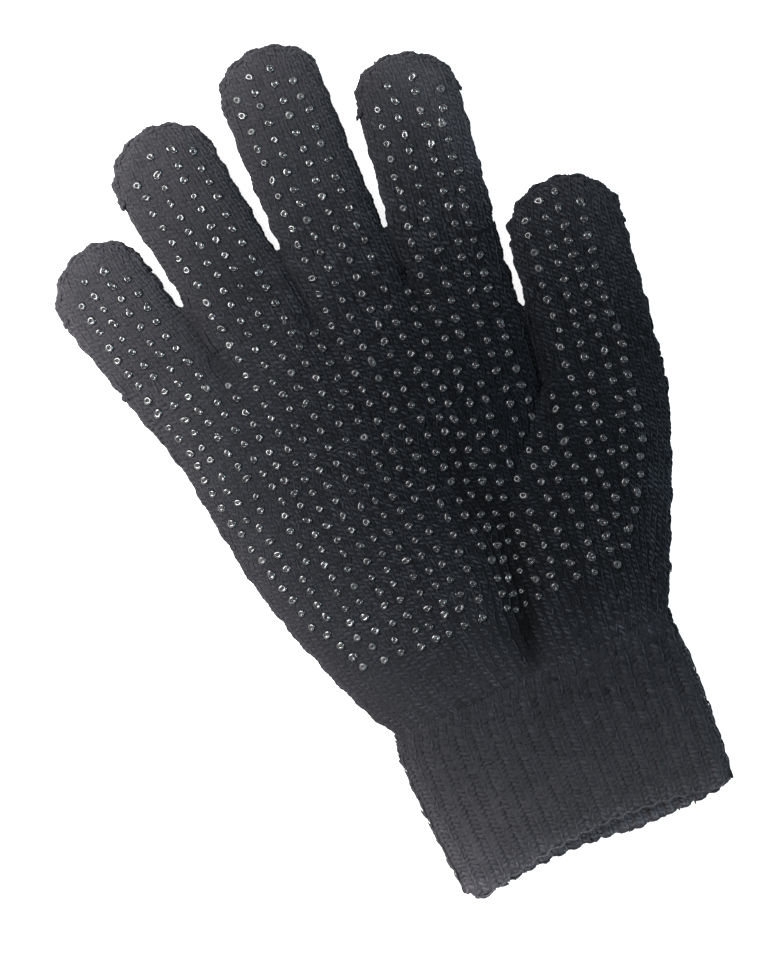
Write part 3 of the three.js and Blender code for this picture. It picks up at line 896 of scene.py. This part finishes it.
def palm_legs(rows, before):
    """The legs of rows of (felt, spots, there, shift, y), which run from the fingers to the wrist. Just
    above it every other wale begins to sink, with painted shade on it, and the wales between get painted
    light. before says how many wales lie to the left, and the second value returned is how many of these
    reach the wrist."""
    grid, out, shown = [], [], []
    for felt, spots, there, shift, _ in rows:
        p, n = at(felt, np.clip(spots, 0, felt["length"]))
        grid.append(p + shift)
        out.append(n)
        shown.append(there & (spots > -0.1 * MM) & (spots < felt["length"] + 0.1 * MM))
    grid, out, shown = (np.array(a)[::-1].copy() for a in (grid, out, shown))
    out[0], out[-1] = out[1], out[-2]
    shown[-1, [0, -1]] = False
    across, pitch = spacing(grid)
    across, pitch = np.clip(across, *PALM_WALE_RANGE), np.clip(pitch, *COURSE_RANGE)
    y = np.array([row[4] for row in rows])[::-1, None]
    begun = smooth((RIBS_FROM - y) / RIBS_GROW)
    there = rows[-1][2]
    inner = ((np.cumsum(there) - 1 + before) % 2 == 1)[None]
    sink, tint = begun * np.where(inner, 0.03, -0.03), 1 + begun * np.where(inner, -0.12, 0.1)
    grid = settle("palm_body", grid)
    return legs_on(grid, out, shown, PLAIN_LEGS, across, pitch, sink, tint), int(there.sum())


for side, name in ((1, "palm_side_stitches"), (-1, "back_side_stitches")):
    rows = []
    wales = 4 * WALES_PER_FINGER + 2
    tuck = 0.0
    fold_length = None
    for y in np.arange(43.15, WRIST - 0.2, -COURSE / MM):
        felt_y = max(min(y, 42.9), WRIST + 0.2)
        y_right = arched(felt_y)(0.034) / MM
        joined = y_right < CROTCH
        limit = float(np.interp(y_right, THUMB_LINE["y"], THUMB_LINE["x"])) * MM
        felt = course("palm_body", arched(felt_y), 0.0, side, right=limit if joined else None)
        if joined and not tuck:
            tuck = fold_length - felt["length"]
        fold_length = felt["length"]
        share, there = shares(wales, ENDING_WALES, y)
        reach = tuck * (1 - smooth((CROTCH - y_right) / CROTCH_FADE)) if joined else 0.0
        spots = share * (felt["length"] + reach)
        if felt_y > ALIGNED_FROM:
            # Next to the fingers every wale lies in line with its own in the finger.
            aligned = []
            for digit in DIGITS[:4]:
                root = roots[digit["name"], side]
                middle = np.interp(digit["root"][0] * MM, felt["places"][:, 0], felt["along"])
                steps = np.arange(WALES_PER_FINGER) - WALES_PER_FINGER // 2
                aligned.append(middle + steps * root["length"] / root["wales"])
            aligned = np.concatenate([[aligned[0][0] - WALE], *aligned, [aligned[-1][-1] + WALE]])
            mix = smooth((felt_y - ALIGNED_FROM) / (PALM_TOP - ALIGNED_FROM))
            spots = spots * (1 - mix) + aligned * mix
        rows.append((felt, spots, there, [0, (y - felt_y) * MM, 0], y))
    palm, ranked = palm_legs(rows, 0)

    # The thumb's base: its courses turn from the thumb's root to the line of the wrist.
    rows = []
    root = roots["thumb", side]
    tuck = None
    for i in range(BASE_COURSES):
        t = max(0.004, (i - 0.1) / (BASE_COURSES - 0.5))
        y_left = BASE_TOP["left"] + (WRIST + 0.1 - BASE_TOP["left"]) * t
        y_right = BASE_TOP["right"] + (WRIST + 0.1 - BASE_TOP["right"]) * t
        x_left = float(np.interp(y_left, THUMB_LINE["y"], THUMB_LINE["x"]))
        slope = (y_right - y_left) / BASE_TOP["wide"]

        def line(x, x_left=x_left, y_left=y_left, slope=slope):
            return (y_left + slope * (x / MM - x_left)) * MM
        felt = course("palm_body", line, x_left * MM, side, left=x_left * MM)
        if tuck is None:
            tuck = max(0, root["length"] - felt["length"])
        share, there = shares(root["wales"], BASE_ENDING_WALES, y_left)
        reach = tuck * (1 - smooth((BASE_TOP["left"] - y_left) / CROTCH_FADE))
        spots = share * (felt["length"] + reach) - reach
        rows.append((felt, spots, there, [0, 0, 0], (y_left + y_right) / 2))
    base, _ = palm_legs(rows, ranked)
    add_stitches(name, [palm, base])

# Where two fingers part, the yarn of both is drawn together, and the palm puckers in faint arcs.
# One yarn runs along each seam under the loops, and one down the furrow between two tubes.
# Each place where two tubes part: X, Y and its lean. Each arc: its radius, its grains, its spread.
CROTCHES = [(-38.5, 43.3, 6), (-11.8, 43.3, 2), (13.7, 43.3, -5), (34.0, 4.0, -10)]
ARCS = [(0.9, 5, 80), (2.1, 8, 75), (3.4, 11, 65), (4.8, 12, 50)]
FILLING = 14
SEAM_YARN = np.array([0.85, 1.0, 0.32]) * MM
# Where each furrow between two tubes opens, and its yarn.
FURROW_ENDS = [(-40.5, 58.6), (-12.8, 61.6), (14.4, 55.2), (37.8, 23.4)]
FURROW_YARN = np.array([1.1, 0.9, 0.6]) * MM
YARN_STEP = 0.9
pucker_corners = []
up = np.array([0.0, 0.0, 1.0])
for x, y, lean in CROTCHES:
    for radius, count, spread in ARCS:
        turned = np.radians(np.linspace(-spread, spread, count) + lean + rng.normal(0, 3, count))
        far = radius + rng.normal(0, 0.2, count)
        places = np.stack([x + far * np.sin(turned), y - far * np.cos(turned), 0 * far], axis=1) * MM
        ways = np.stack([np.cos(turned), np.sin(turned), 0 * turned], axis=1)
        for place in places:
            found = surface(*place[:2])
            place[2] = found[0][2] - 0.24 * MM if found else 6 * MM
        ups = np.broadcast_to(up, ways.shape)
        sizes = np.array([1.0, 0.42, 0.32]) * MM * rng.normal(1, 0.12, (count, 3))
        pucker_corners.append(grains(places, ways, np.cross(up, ways), ups, sizes))
    # The fastened-off ends fill the hole between the tubes.
    spread = [rng.normal(0, 0.5, FILLING), rng.normal(0.1, 0.5, FILLING), np.linspace(2.0, 6.4, FILLING)]
    deep = np.array([x, y, 0]) * MM + np.stack(spread, axis=1) * MM
    ways = unit(rng.normal(0, 1, (FILLING, 3)) * [1, 1, 0.2])
    ups = np.broadcast_to(up, ways.shape)
    sizes = np.full((FILLING, 3), 1.2 * MM)
    pucker_corners.append(grains(deep, ways, unit(np.cross(up, ways)), ups, sizes))


def lay_yarn(middle, height, run, side, yarn, loose):
    """One length of thick yarn over a place in plan, along run."""
    place = np.array([[*middle * MM, height]])
    if loose:
        place = place + rng.normal(0, loose, (1, 3)) * MM
    along = np.array([[*run, 0.0]])
    sizes = yarn[None] * rng.normal(1, 0.08, (1, 3))
    pucker_corners.append(grains(place, along, np.cross(up, along), side * up[None], sizes))


for seam in SEAMS:
    for side in (1, -1):
        for spot in np.arange(-74, 74, YARN_STEP):
            levels = []
            middle = np.array(seam["through"]) + seam["across"] * spot
            for group, ahead in ((seam["near"], -0.6), (seam["far"], 0.6)):
                x, y = (middle + seam["axis"] * ahead) * MM
                found = [(node, plumb(node, x, y, side)[0]) for node in group]
                found = [
                    side * settle(node, np.array(place[:]))[2] for node, place in found if place is not None
                ]
                levels.append(side * max(found) if found else math.nan)
            if abs(levels[0] - levels[1]) < 1.2 * MM:
                level = sum(levels) / 2 - side * 0.34 * MM
                lay_yarn(middle + seam["axis"] * 0.3, level, seam["across"], side, SEAM_YARN, 0)
for (x, y, _), end in zip(CROTCHES, FURROW_ENDS):
    run = np.array([end[0] - x, end[1] - y])
    length = np.linalg.norm(run)
    run = unit(run)
    beside = np.array([run[1], -run[0]])
    for gone in np.arange(0.5, length - 1.4, YARN_STEP):
        middle = np.array([x, y]) + run * gone
        levels = [surface(*(middle + way * beside) * MM)[0][2] for way in (-1.7, -0.8, 0.8, 1.7)]
        for way, level in ((0, min(levels[0], levels[3]) - 0.6 * MM), (-0.8, levels[1]), (0.8, levels[2])):
            lay_yarn(middle + way * beside, level - 0.72 * MM, run, 1, FURROW_YARN, 0.05)
pucker_corners = np.concatenate(pucker_corners)
middles = pucker_corners.mean(axis=1)
# Painted shade from the furrows and towards the painted falloff's middle, with random tone.
tones = shade(middles) * (1 - 0.2 * vigour(middles)) * rng.normal(1.0, 0.08, len(pucker_corners))
add_stitches("finger_puckers", [(pucker_corners, tones)])

# The cuff: a rib of one wale out and one wale in, all the way round, so it grips the wrist. It
# grows out of the palm's wales, is worn nearly flat, and is chained off at a wavy hem.
CUFF_WALES = 36
CUFF_COURSES = 35
CUFF_LENGTH = CUFF_TOP - CUFF_HEM
RIB_COURSE_RANGE = (0.9 * MM, 1.6 * MM)
# The ribs' legs have painted light on them, the legs in the furrows between the ribs painted shade.
RIB_LEGS = [
    {"across": 0.33, "slant": 4, "length": 1.2, "width": 0.28, "thick": 0.28, "lift": 0.0,
     "tone": (1.08, 1.34), "uneven": 0.04},
    {"across": -0.14, "slant": -50, "length": 1.3, "width": 0.55, "thick": 0.25, "lift": -0.05,
     "tone": (1.03, 1.24), "uneven": 0.02},
]
FURROW_LEGS = [
    {"across": 0.0, "slant": 70, "length": 1.1, "width": 0.7, "thick": 0.24, "lift": -0.04,
     "tone": (0.96, 0.78), "uneven": 0.02},
]

parts = []
felt = {}
downs = 0.014 + 0.972 * np.arange(CUFF_COURSES) / (CUFF_COURSES - 1)
for i, down in enumerate(downs):
    for side in (1, -1):
        def line(x, side=side, down=down):
            return (CUFF_TOP + (hem_line(x / MM, side) - CUFF_TOP) * down) * MM
        felt[side, i] = course("rib_cuff", line, 0.0, side)
below = (downs * CUFF_LENGTH)[::-1]
begun = smooth(below / RIB_START)
ended = smooth((below - CUFF_LENGTH + 6) / 5)
for side in (1, -1):
    grid, out, shown = [], [], []
    for i, begins in zip(reversed(range(CUFF_COURSES)), begun):
        here = felt[side, i]
        wale = here["length"] / CUFF_WALES
        spots = (np.arange(CUFF_WALES + 1) + 0.5 * (1 - begins)) * wale
        p, n = at(here, np.clip(spots, 0, here["length"]))
        edge = (0.1 if side == 1 else -0.4) * MM - (0.8 * MM if i > CUFF_COURSES - 4 else 0)
        grid.append(p)
        out.append(n)
        shown.append((spots > -edge) & (spots < here["length"] + edge))
    grid, out, shown = np.array(grid), np.array(out), np.array(shown)
    grid = settle("rib_cuff", grid)
    out[:, 1:-1] = unit(out[:, :-2] + 2 * out[:, 1:-1] + out[:, 2:])
    pitch = np.clip(spacing(grid)[1], *RIB_COURSE_RANGE)
    ribbed = begun[:, None] > rng.uniform(0.15, 0.6, (1, CUFF_WALES + 1))
    outer = np.arange(CUFF_WALES + 1) % 2 == 0
    # The cuff's loops are darker all over and lighter over the last millimetres before the hem. Near its
    # top, where the ribs have not risen yet, the outer wales get painted light and the inner painted shade.
    tint = 0.92 - 0.03 * begun[:, None] + ended[:, None] * 0.3
    tint = tint + np.where(outer, 0.08, -0.12) * (1 - begun[:, None])
    for mask, legs, width in (
        (shown & outer & ribbed, RIB_LEGS, 2.5), (shown & ~outer & ribbed, FURROW_LEGS, 1.7),
        (shown & ~ribbed, PLAIN_LEGS, 2.0),
    ):
        parts.append(legs_on(grid, out, mask, legs, np.full(shown.shape, width * MM), pitch, tint=tint))

# Inside the mouth of the cuff the back's layer shows its own stitches, up to the hem, with painted
# light on them against the shade of the hollow.
MOUTH_COURSES = 7
MOUTH_COURSE = 1.15
MOUTH_WALE = 2.03
MOUTH_PAINTED_LIGHT = 2.6
rows = []
for i in range(MOUTH_COURSES):
    row = []
    for x in np.arange(-33.5, 32.5, MOUTH_WALE):
        y = hem_line(x, -1) + 0.9 + MOUTH_COURSE * i
        place = plumb("rib_cuff", x * MM, y * MM, 1, FOLD_LEVEL)[0]
        row.append(place[:] if place is not None and place.z > 0.8 * MM else (x * MM, y * MM, -1))
    rows.append(row)
grid = np.array(rows)
shown = grid[..., 2] > 0
grid[..., 2] = np.where(shown, grid[..., 2], 2 * MM)
grid[..., 2] += droop(grid, 1.0)
out = np.broadcast_to(up, grid.shape).copy()
across, pitch = np.full(shown.shape, MOUTH_WALE * MM), np.full(shown.shape, MOUTH_COURSE * MM)
parts.append(legs_on(grid, out, shown, PLAIN_LEGS, across, pitch, tint=MOUTH_PAINTED_LIGHT))

# The chained edge: a light line along the palm's layer, a bump at the end of each rib, and the
# rounds of loops under them. Each has its side, the step from loop to loop, how far it stands out,
# half a loop's length, width and height, its tone, and how deep it lies. The tones are painted light:
# most on the light line, a painted highlight, and on the back's rounds in the shade of the mouth.
HEM_ROUNDS = [
    (1, 1.0, 0.05, 0.85, 0.24, 0.3, 1.8, 0.0),
    (1, RIB_PERIOD / 3, -0.1, 1.2, 0.42, 0.75, 1.1, 0.0),
    (-1, RIB_PERIOD / 3, -0.15, 1.25, 0.45, 0.9, 1.3, 0.0),
    (1, 1.3, 0.0, 1.0, 0.3, 0.32, 1.2, 0.55),
    (1, 1.3, 0.0, 1.0, 0.3, 0.32, 1.1, 1.1),
    (-1, 1.3, -0.05, 1.0, 0.3, 0.32, 1.3, 1.0),
]
for side, step, reach, half, wide, tall, tint, low in HEM_ROUNDS:
    xs = np.arange(-35.4, 32.6, step)
    edge, level = [], []
    for x in xs:
        y = hem_line(x, side)
        above = plumb("rib_cuff", x * MM, (y + 0.7) * MM, 1, WELL_ABOVE if side == 1 else FOLD_LEVEL)[0]
        level.append(above.z if above is not None else 3 * MM)
        start = Vector((x * MM, -0.13, level[-1] - 0.8 * MM))
        rim = trees["rib_cuff"].ray_cast(start, Vector((0, 1, 0)))[0]
        edge.append(rim.y / MM if rim is not None and abs(rim.y / MM - y) < 1 else y)
    edge = np.array(edge)
    edge -= reach - 0.6 * (edge - hem_line(xs, side)) + rng.normal(0, 0.05, len(xs))
    places = np.stack([xs * MM, edge * MM, np.array(level)], axis=1)
    places[:, 2] += droop(places, 1.0 if side == -1 else 0.0) - (tall - 0.1 + low) * MM
    along = unit(np.gradient(places, axis=0))
    ups = np.broadcast_to(up, along.shape)
    sizes = np.array([half, wide, tall]) * MM * rng.normal(1, 0.1, (len(xs), 3))
    corners = grains(places, along, np.cross(up, along), ups, sizes)
    parts.append((corners, rng.normal(tint, 0.12, len(xs))))
add_stitches("cuff_stitches", parts, "rib_knit")

# The grip dots: drops of soft black rubber, printed on the palm side and cured. Each has sunk a
# little in its middle, so its rim shines.
DOT_RADIUS = 1.16
DOT_PROFILE = [
    (0.15, 0.05), (0.22, 0.27), (0.36, 0.335), (0.5, 0.40), (0.56, 0.40), (0.84, 0.265), (1.0, -0.2),
]
DOT_STEPS = 9
DOT_SPREAD = 0.22
# Every column of dots, from the fingertips towards the wrist: how many, and the way it takes, x and y.
DOT_COLUMNS = [
    (25, [(-63.3, 68.7), (-60.4, 51), (-57.6, 38.4), (-54, 22.6), (-53, 9), (-49, -8.3), (-46, -20.4),
         (-44.7, -28)]),
    (4, [(-42.1, -31.4), (-37.2, -42.8)]),
    (18, [(-59.8, 73.9), (-57, 56), (-54.7, 47), (-51.6, 31.2), (-49.9, 19.4), (-48.3, 3.1)]),
    (4, [(-46, -0.1), (-44.2, -12.2)]),
    (4, [(-41.4, -16.3), (-40.6, -27.5)]),
    (18, [(-54.6, 74.3), (-52.9, 62), (-49.5, 44), (-47, 30), (-44, 11.4), (-43.8, 3.6)]),
    (4, [(-39.6, 0), (-39, -12.2)]),
    (17, [(-49.8, 69.8), (-47, 53), (-43.3, 38), (-40.8, 20), (-38.5, 3.6)]),
    (13, [(-37.7, 35.4), (-37.4, 28.4), (-35.6, 12.2), (-34.9, 0.4), (-34.3, -11.6)]),
    (6, [(-35.3, -15.6), (-35.4, -27.6), (-35.7, -35.3)]),
    (2, [(-32.8, -39.1), (-31.9, -43.1)]),
    (31, [(-37.6, 90.6), (-35.2, 63.8), (-33.1, 37.2), (-31.3, 12.6), (-29.8, -11.5), (-31.7, -30),
         (-30.7, -35.9)]),
    (32, [(-32.2, 95.2), (-31.8, 81.8), (-30, 70), (-28.7, 48), (-27, 20), (-26.2, -3), (-25.2, -14),
         (-26.3, -35.8)]),
    (2, [(-27.6, -39.8), (-27.4, -43.5)]),
    (34, [(-26.4, 94.7), (-26.2, 82.5), (-25.2, 65), (-23.1, 38.3), (-22, 17), (-21.2, -11),
         (-21.4, -24), (-22.3, -44)]),
    (31, [(-21.7, 91.7), (-20.2, 64.8), (-18.4, 45), (-17.3, 20), (-17.3, -11.3), (-16.6, -23),
         (-16.4, -36)]),
    (2, [(-17.9, -40.3), (-18.2, -44)]),
    (19, [(-13.1, 38.1), (-12.6, 13), (-12.4, -11.4), (-12.6, -36.1)]),
    (2, [(-13.7, -39.7), (-14.3, -43.8)]),
    (32, [(-6.1, 99.1), (-7.1, 71), (-8.4, 43.3), (-8.1, 17.8), (-7.9, -7.1), (-8.7, -31.8), (-7.3, -36.4)]),
    (2, [(-9.4, -39.8), (-10, -44.2)]),
    (35, [(-0.9, 103.3), (-2.7, 71), (-3.5, 43), (-3.2, 8.9), (-2.7, -19.5), (-4.2, -40.6), (-5.2, -43.9)]),
    (35, [(4.5, 103), (3.9, 84), (2.6, 60), (2.1, 38.7), (1.6, 8.6), (2, -24), (2.8, -37), (0.7, -44.8)]),
    (34, [(8.9, 97.6), (8.6, 79.3), (7.7, 52.4), (6.5, 29), (6.2, 12), (5.5, -13), (5.7, -33.5),
         (3.4, -46)]),
    (19, [(12.2, 37.3), (10.9, 24.4), (9.5, -1.1), (8.5, -25.8), (8.3, -38.1)]),
    (2, [(6.6, -42.3), (6.1, -45.6)]),
    (31, [(24.8, 81.9), (20.5, 59), (17.5, 41), (15.4, 20), (13.5, -2), (12.3, -21.8), (11.5, -37),
         (9.8, -44.9)]),
    (30, [(29.7, 86.5), (29, 78), (25.2, 58.6), (22.9, 40), (20.5, 28), (18.9, 6.1), (17.4, -2),
         (17, -18.5), (16.1, -38.2)]),
    (2, [(14.8, -41.7), (14.3, -44.7)]),
    (32, [(36.1, 86), (33.4, 71.5), (30.3, 48.2), (25.8, 27.4), (23.9, 4.8), (22.8, -15.1),
         (21, -33.8), (20.4, -45.1)]),
    (29, [(40.7, 80), (37.7, 70.7), (36, 57.4), (33, 44), (31, 29), (29.3, 13), (27.5, -4),
         (26.3, -26.1), (26.9, -38)]),
    (2, [(25.7, -41.5), (25.2, -45.4)]),
    (13, [(34, -1.3), (31.8, -13), (31.9, -24), (31.6, -35), (30.5, -46)]),
    (20, [(46.4, 41.2), (43.8, 24.5), (41.3, 7.4), (38.4, -8.9), (36.3, -21), (37.5, -31.6), (36.1, -35.1)]),
    (17, [(52, 44.4), (48.1, 20), (45.4, 3), (44, -3), (40.8, -15.5), (41.2, -20.1)]),
    (19, [(56, 44.8), (54, 30), (51, 7.4), (48.6, -8.7), (45.2, -20), (41.5, -28.2)]),
    (18, [(61, 39.6), (57, 22), (56, 10), (52.6, -8.6), (50, -20.6), (46.1, -27.9)]),
    (4, [(43.2, -32), (34.9, -42.8)]),
]

# The drops in the palm's middle get painted shade on their reflections: a lower specular level than
# those towards the tips. SHINES names the rubbers from bright to dim, and the list after it says from
# which painted dimming on the second and the third begin.
SHINES = {"glossy_rubber": 0.85, "rubber_painted_dim": 0.52, "rubber_painted_dimmer": 0.31}
DIMMED_FROM = [0.3, 0.7]


def rubber_finish(name, shine):
    """Soft black rubber with a fine uneven skin. The attribute tone says how rough each drop is."""
    finish, tree, shader = new_finish(name, {
        "Base Color": (0.012, 0.012, 0.014, 1), "IOR": 1.7, "Specular IOR Level": shine,
    })
    place = add_node(tree, "TexCoord", {}, {}).outputs["Object"]
    skin = add_node(tree, "TexNoise", {"Scale": 1500}, {"Vector": place}).outputs["Fac"]
    tone = add_node(tree, "Attribute", {}, {}, attribute_name="tone").outputs["Fac"]
    rough = add_node(tree, "Math", {1: 0.12}, {0: skin, 2: tone}, operation="MULTIPLY_ADD")
    tree.links.new(rough.outputs["Value"], shader.inputs["Roughness"])
    add_bump(tree, shader, skin, 0.25, 0.05)
    return finish


rubbers = [rubber_finish(name, shine) for name, shine in SHINES.items()]

dot_shape = bmesh.new()
profile = [dot_shape.verts.new((r * DOT_RADIUS, 0, z)) for r, z in DOT_PROFILE]
for a, b in zip(profile, profile[1:]):
    dot_shape.edges.new((a, b))
bmesh.ops.spin(
    dot_shape, geom=dot_shape.verts[:] + dot_shape.edges[:], cent=(0, 0, 0), axis=(0, 0, 1),
    dvec=(0, 0, 0), angle=math.tau, steps=DOT_STEPS, use_merge=True,
)
bmesh.ops.remove_doubles(dot_shape, verts=dot_shape.verts, dist=0.001)
bmesh.ops.holes_fill(dot_shape, edges=[e for e in dot_shape.edges if e.is_boundary], sides=DOT_STEPS)
bmesh.ops.recalc_face_normals(dot_shape, faces=dot_shape.faces)
dot_shape.verts.ensure_lookup_table()
DOT = np.array([v.co[:] for v in dot_shape.verts])
DOT_FACES = [[v.index for v in f.verts] for f in dot_shape.faces]
# The steep walls of the pit and of the edge meet the drop's flanks in a crisp line.
DOT_CRISP = [abs(f.normal.z) < 0.6 for f in dot_shape.faces]
dot_shape.free()

dot_places = []
for count, way in DOT_COLUMNS:
    way = np.array(way, float)
    gone = distances(way)
    dot_places.append(pick(np.linspace(0, gone[-1], count), gone, way))
dot_places = np.concatenate(dot_places)
dot_places += rng.normal(0, DOT_SPREAD, dot_places.shape)
# Some drops ran out into a tail, some caught a second smaller drop, and some cured dull.
TWIN_SHARE = 0.1
TAIL_SHARE = 0.25
DULL_SHARE = 0.06


def drop(x, y, scale):
    """One drop of rubber on the fabric: its corners, how rough its skin is, and how far painted shade
    dims its reflection, as the number of its rubber."""
    place, normal = surface(x * MM, y * MM)
    # In the fold the drops are half buried in the wool.
    buried = max(0, 0.8 - float(shade(place)))
    place[2] -= 0.25 * buried * MM
    scale *= 1 - 0.5 * buried
    stretch = rng.uniform(1.15, 1.4) if rng.uniform() < TAIL_SHARE else rng.normal(1, 0.05)
    shape = DOT * scale * np.array([stretch, 1 / stretch ** 0.5, rng.uniform(0.85, 1.2)])
    angle = np.arctan2(shape[:, 1], shape[:, 0])
    rim = np.hypot(DOT[:, 0], DOT[:, 1]) > 0.2
    swell = 0.2 * np.cos(angle - rng.uniform(0, math.tau))
    swell += 0.1 * np.cos(2 * angle - rng.uniform(0, math.tau))
    shape[:, 2] *= 1 + swell * rim
    shape[:, :2] *= (1 + 0.08 * np.cos(3 * angle - rng.uniform(0, math.tau)))[:, None]
    spin = rng.uniform(0, math.tau)
    turned = np.stack([
        shape[:, 0] * math.cos(spin) - shape[:, 1] * math.sin(spin),
        shape[:, 0] * math.sin(spin) + shape[:, 1] * math.cos(spin),
        shape[:, 2],
    ], axis=1) * MM
    lean_to = (normal + Vector(rng.normal(0, 0.05, 3))).normalized()
    east = Vector((0, 1, 0)).cross(lean_to).normalized()
    basis = np.array([east[:], lean_to.cross(east)[:], lean_to[:]])
    dull = rng.uniform(0.3, 0.45) if rng.uniform() < DULL_SHARE else rng.uniform(0.04, 0.16)
    dimmed = float(vigour(place)) + rng.normal(0, 0.12)
    return turned @ basis + place, dull + 0.2 * buried, sum(dimmed > start for start in DIMMED_FROM)


drops = []
for x, y in dot_places:
    if surface(x * MM, y * MM) is None:
        y -= 1.0
    scale = rng.normal(1, 0.07)
    drops.append(drop(x, y, scale))
    if rng.uniform() < TWIN_SHARE:
        way = rng.uniform(0, math.tau)
        far = rng.uniform(0.75, 1.0)
        x, y = x + far * math.cos(way), y + far * math.sin(way)
        if surface(x * MM, y * MM) is not None:
            drops.append(drop(x, y, scale * rng.uniform(0.5, 0.7)))
corners, tones, dimmed = (np.array(kind) for kind in zip(*drops))
mesh = mesh_of("grip_dots", corners, DOT_FACES, tones)
finishes["grip_dots"] = rubbers[0]
add_piece("grip_dots", mesh, "grip_dots")
for rubber in rubbers[1:]:
    mesh.materials.append(rubber)
mesh.polygons.foreach_set("material_index", np.repeat(dimmed, len(DOT_FACES)))
mesh.polygons.foreach_set("use_smooth", np.tile([not crisp for crisp in DOT_CRISP], len(drops)))
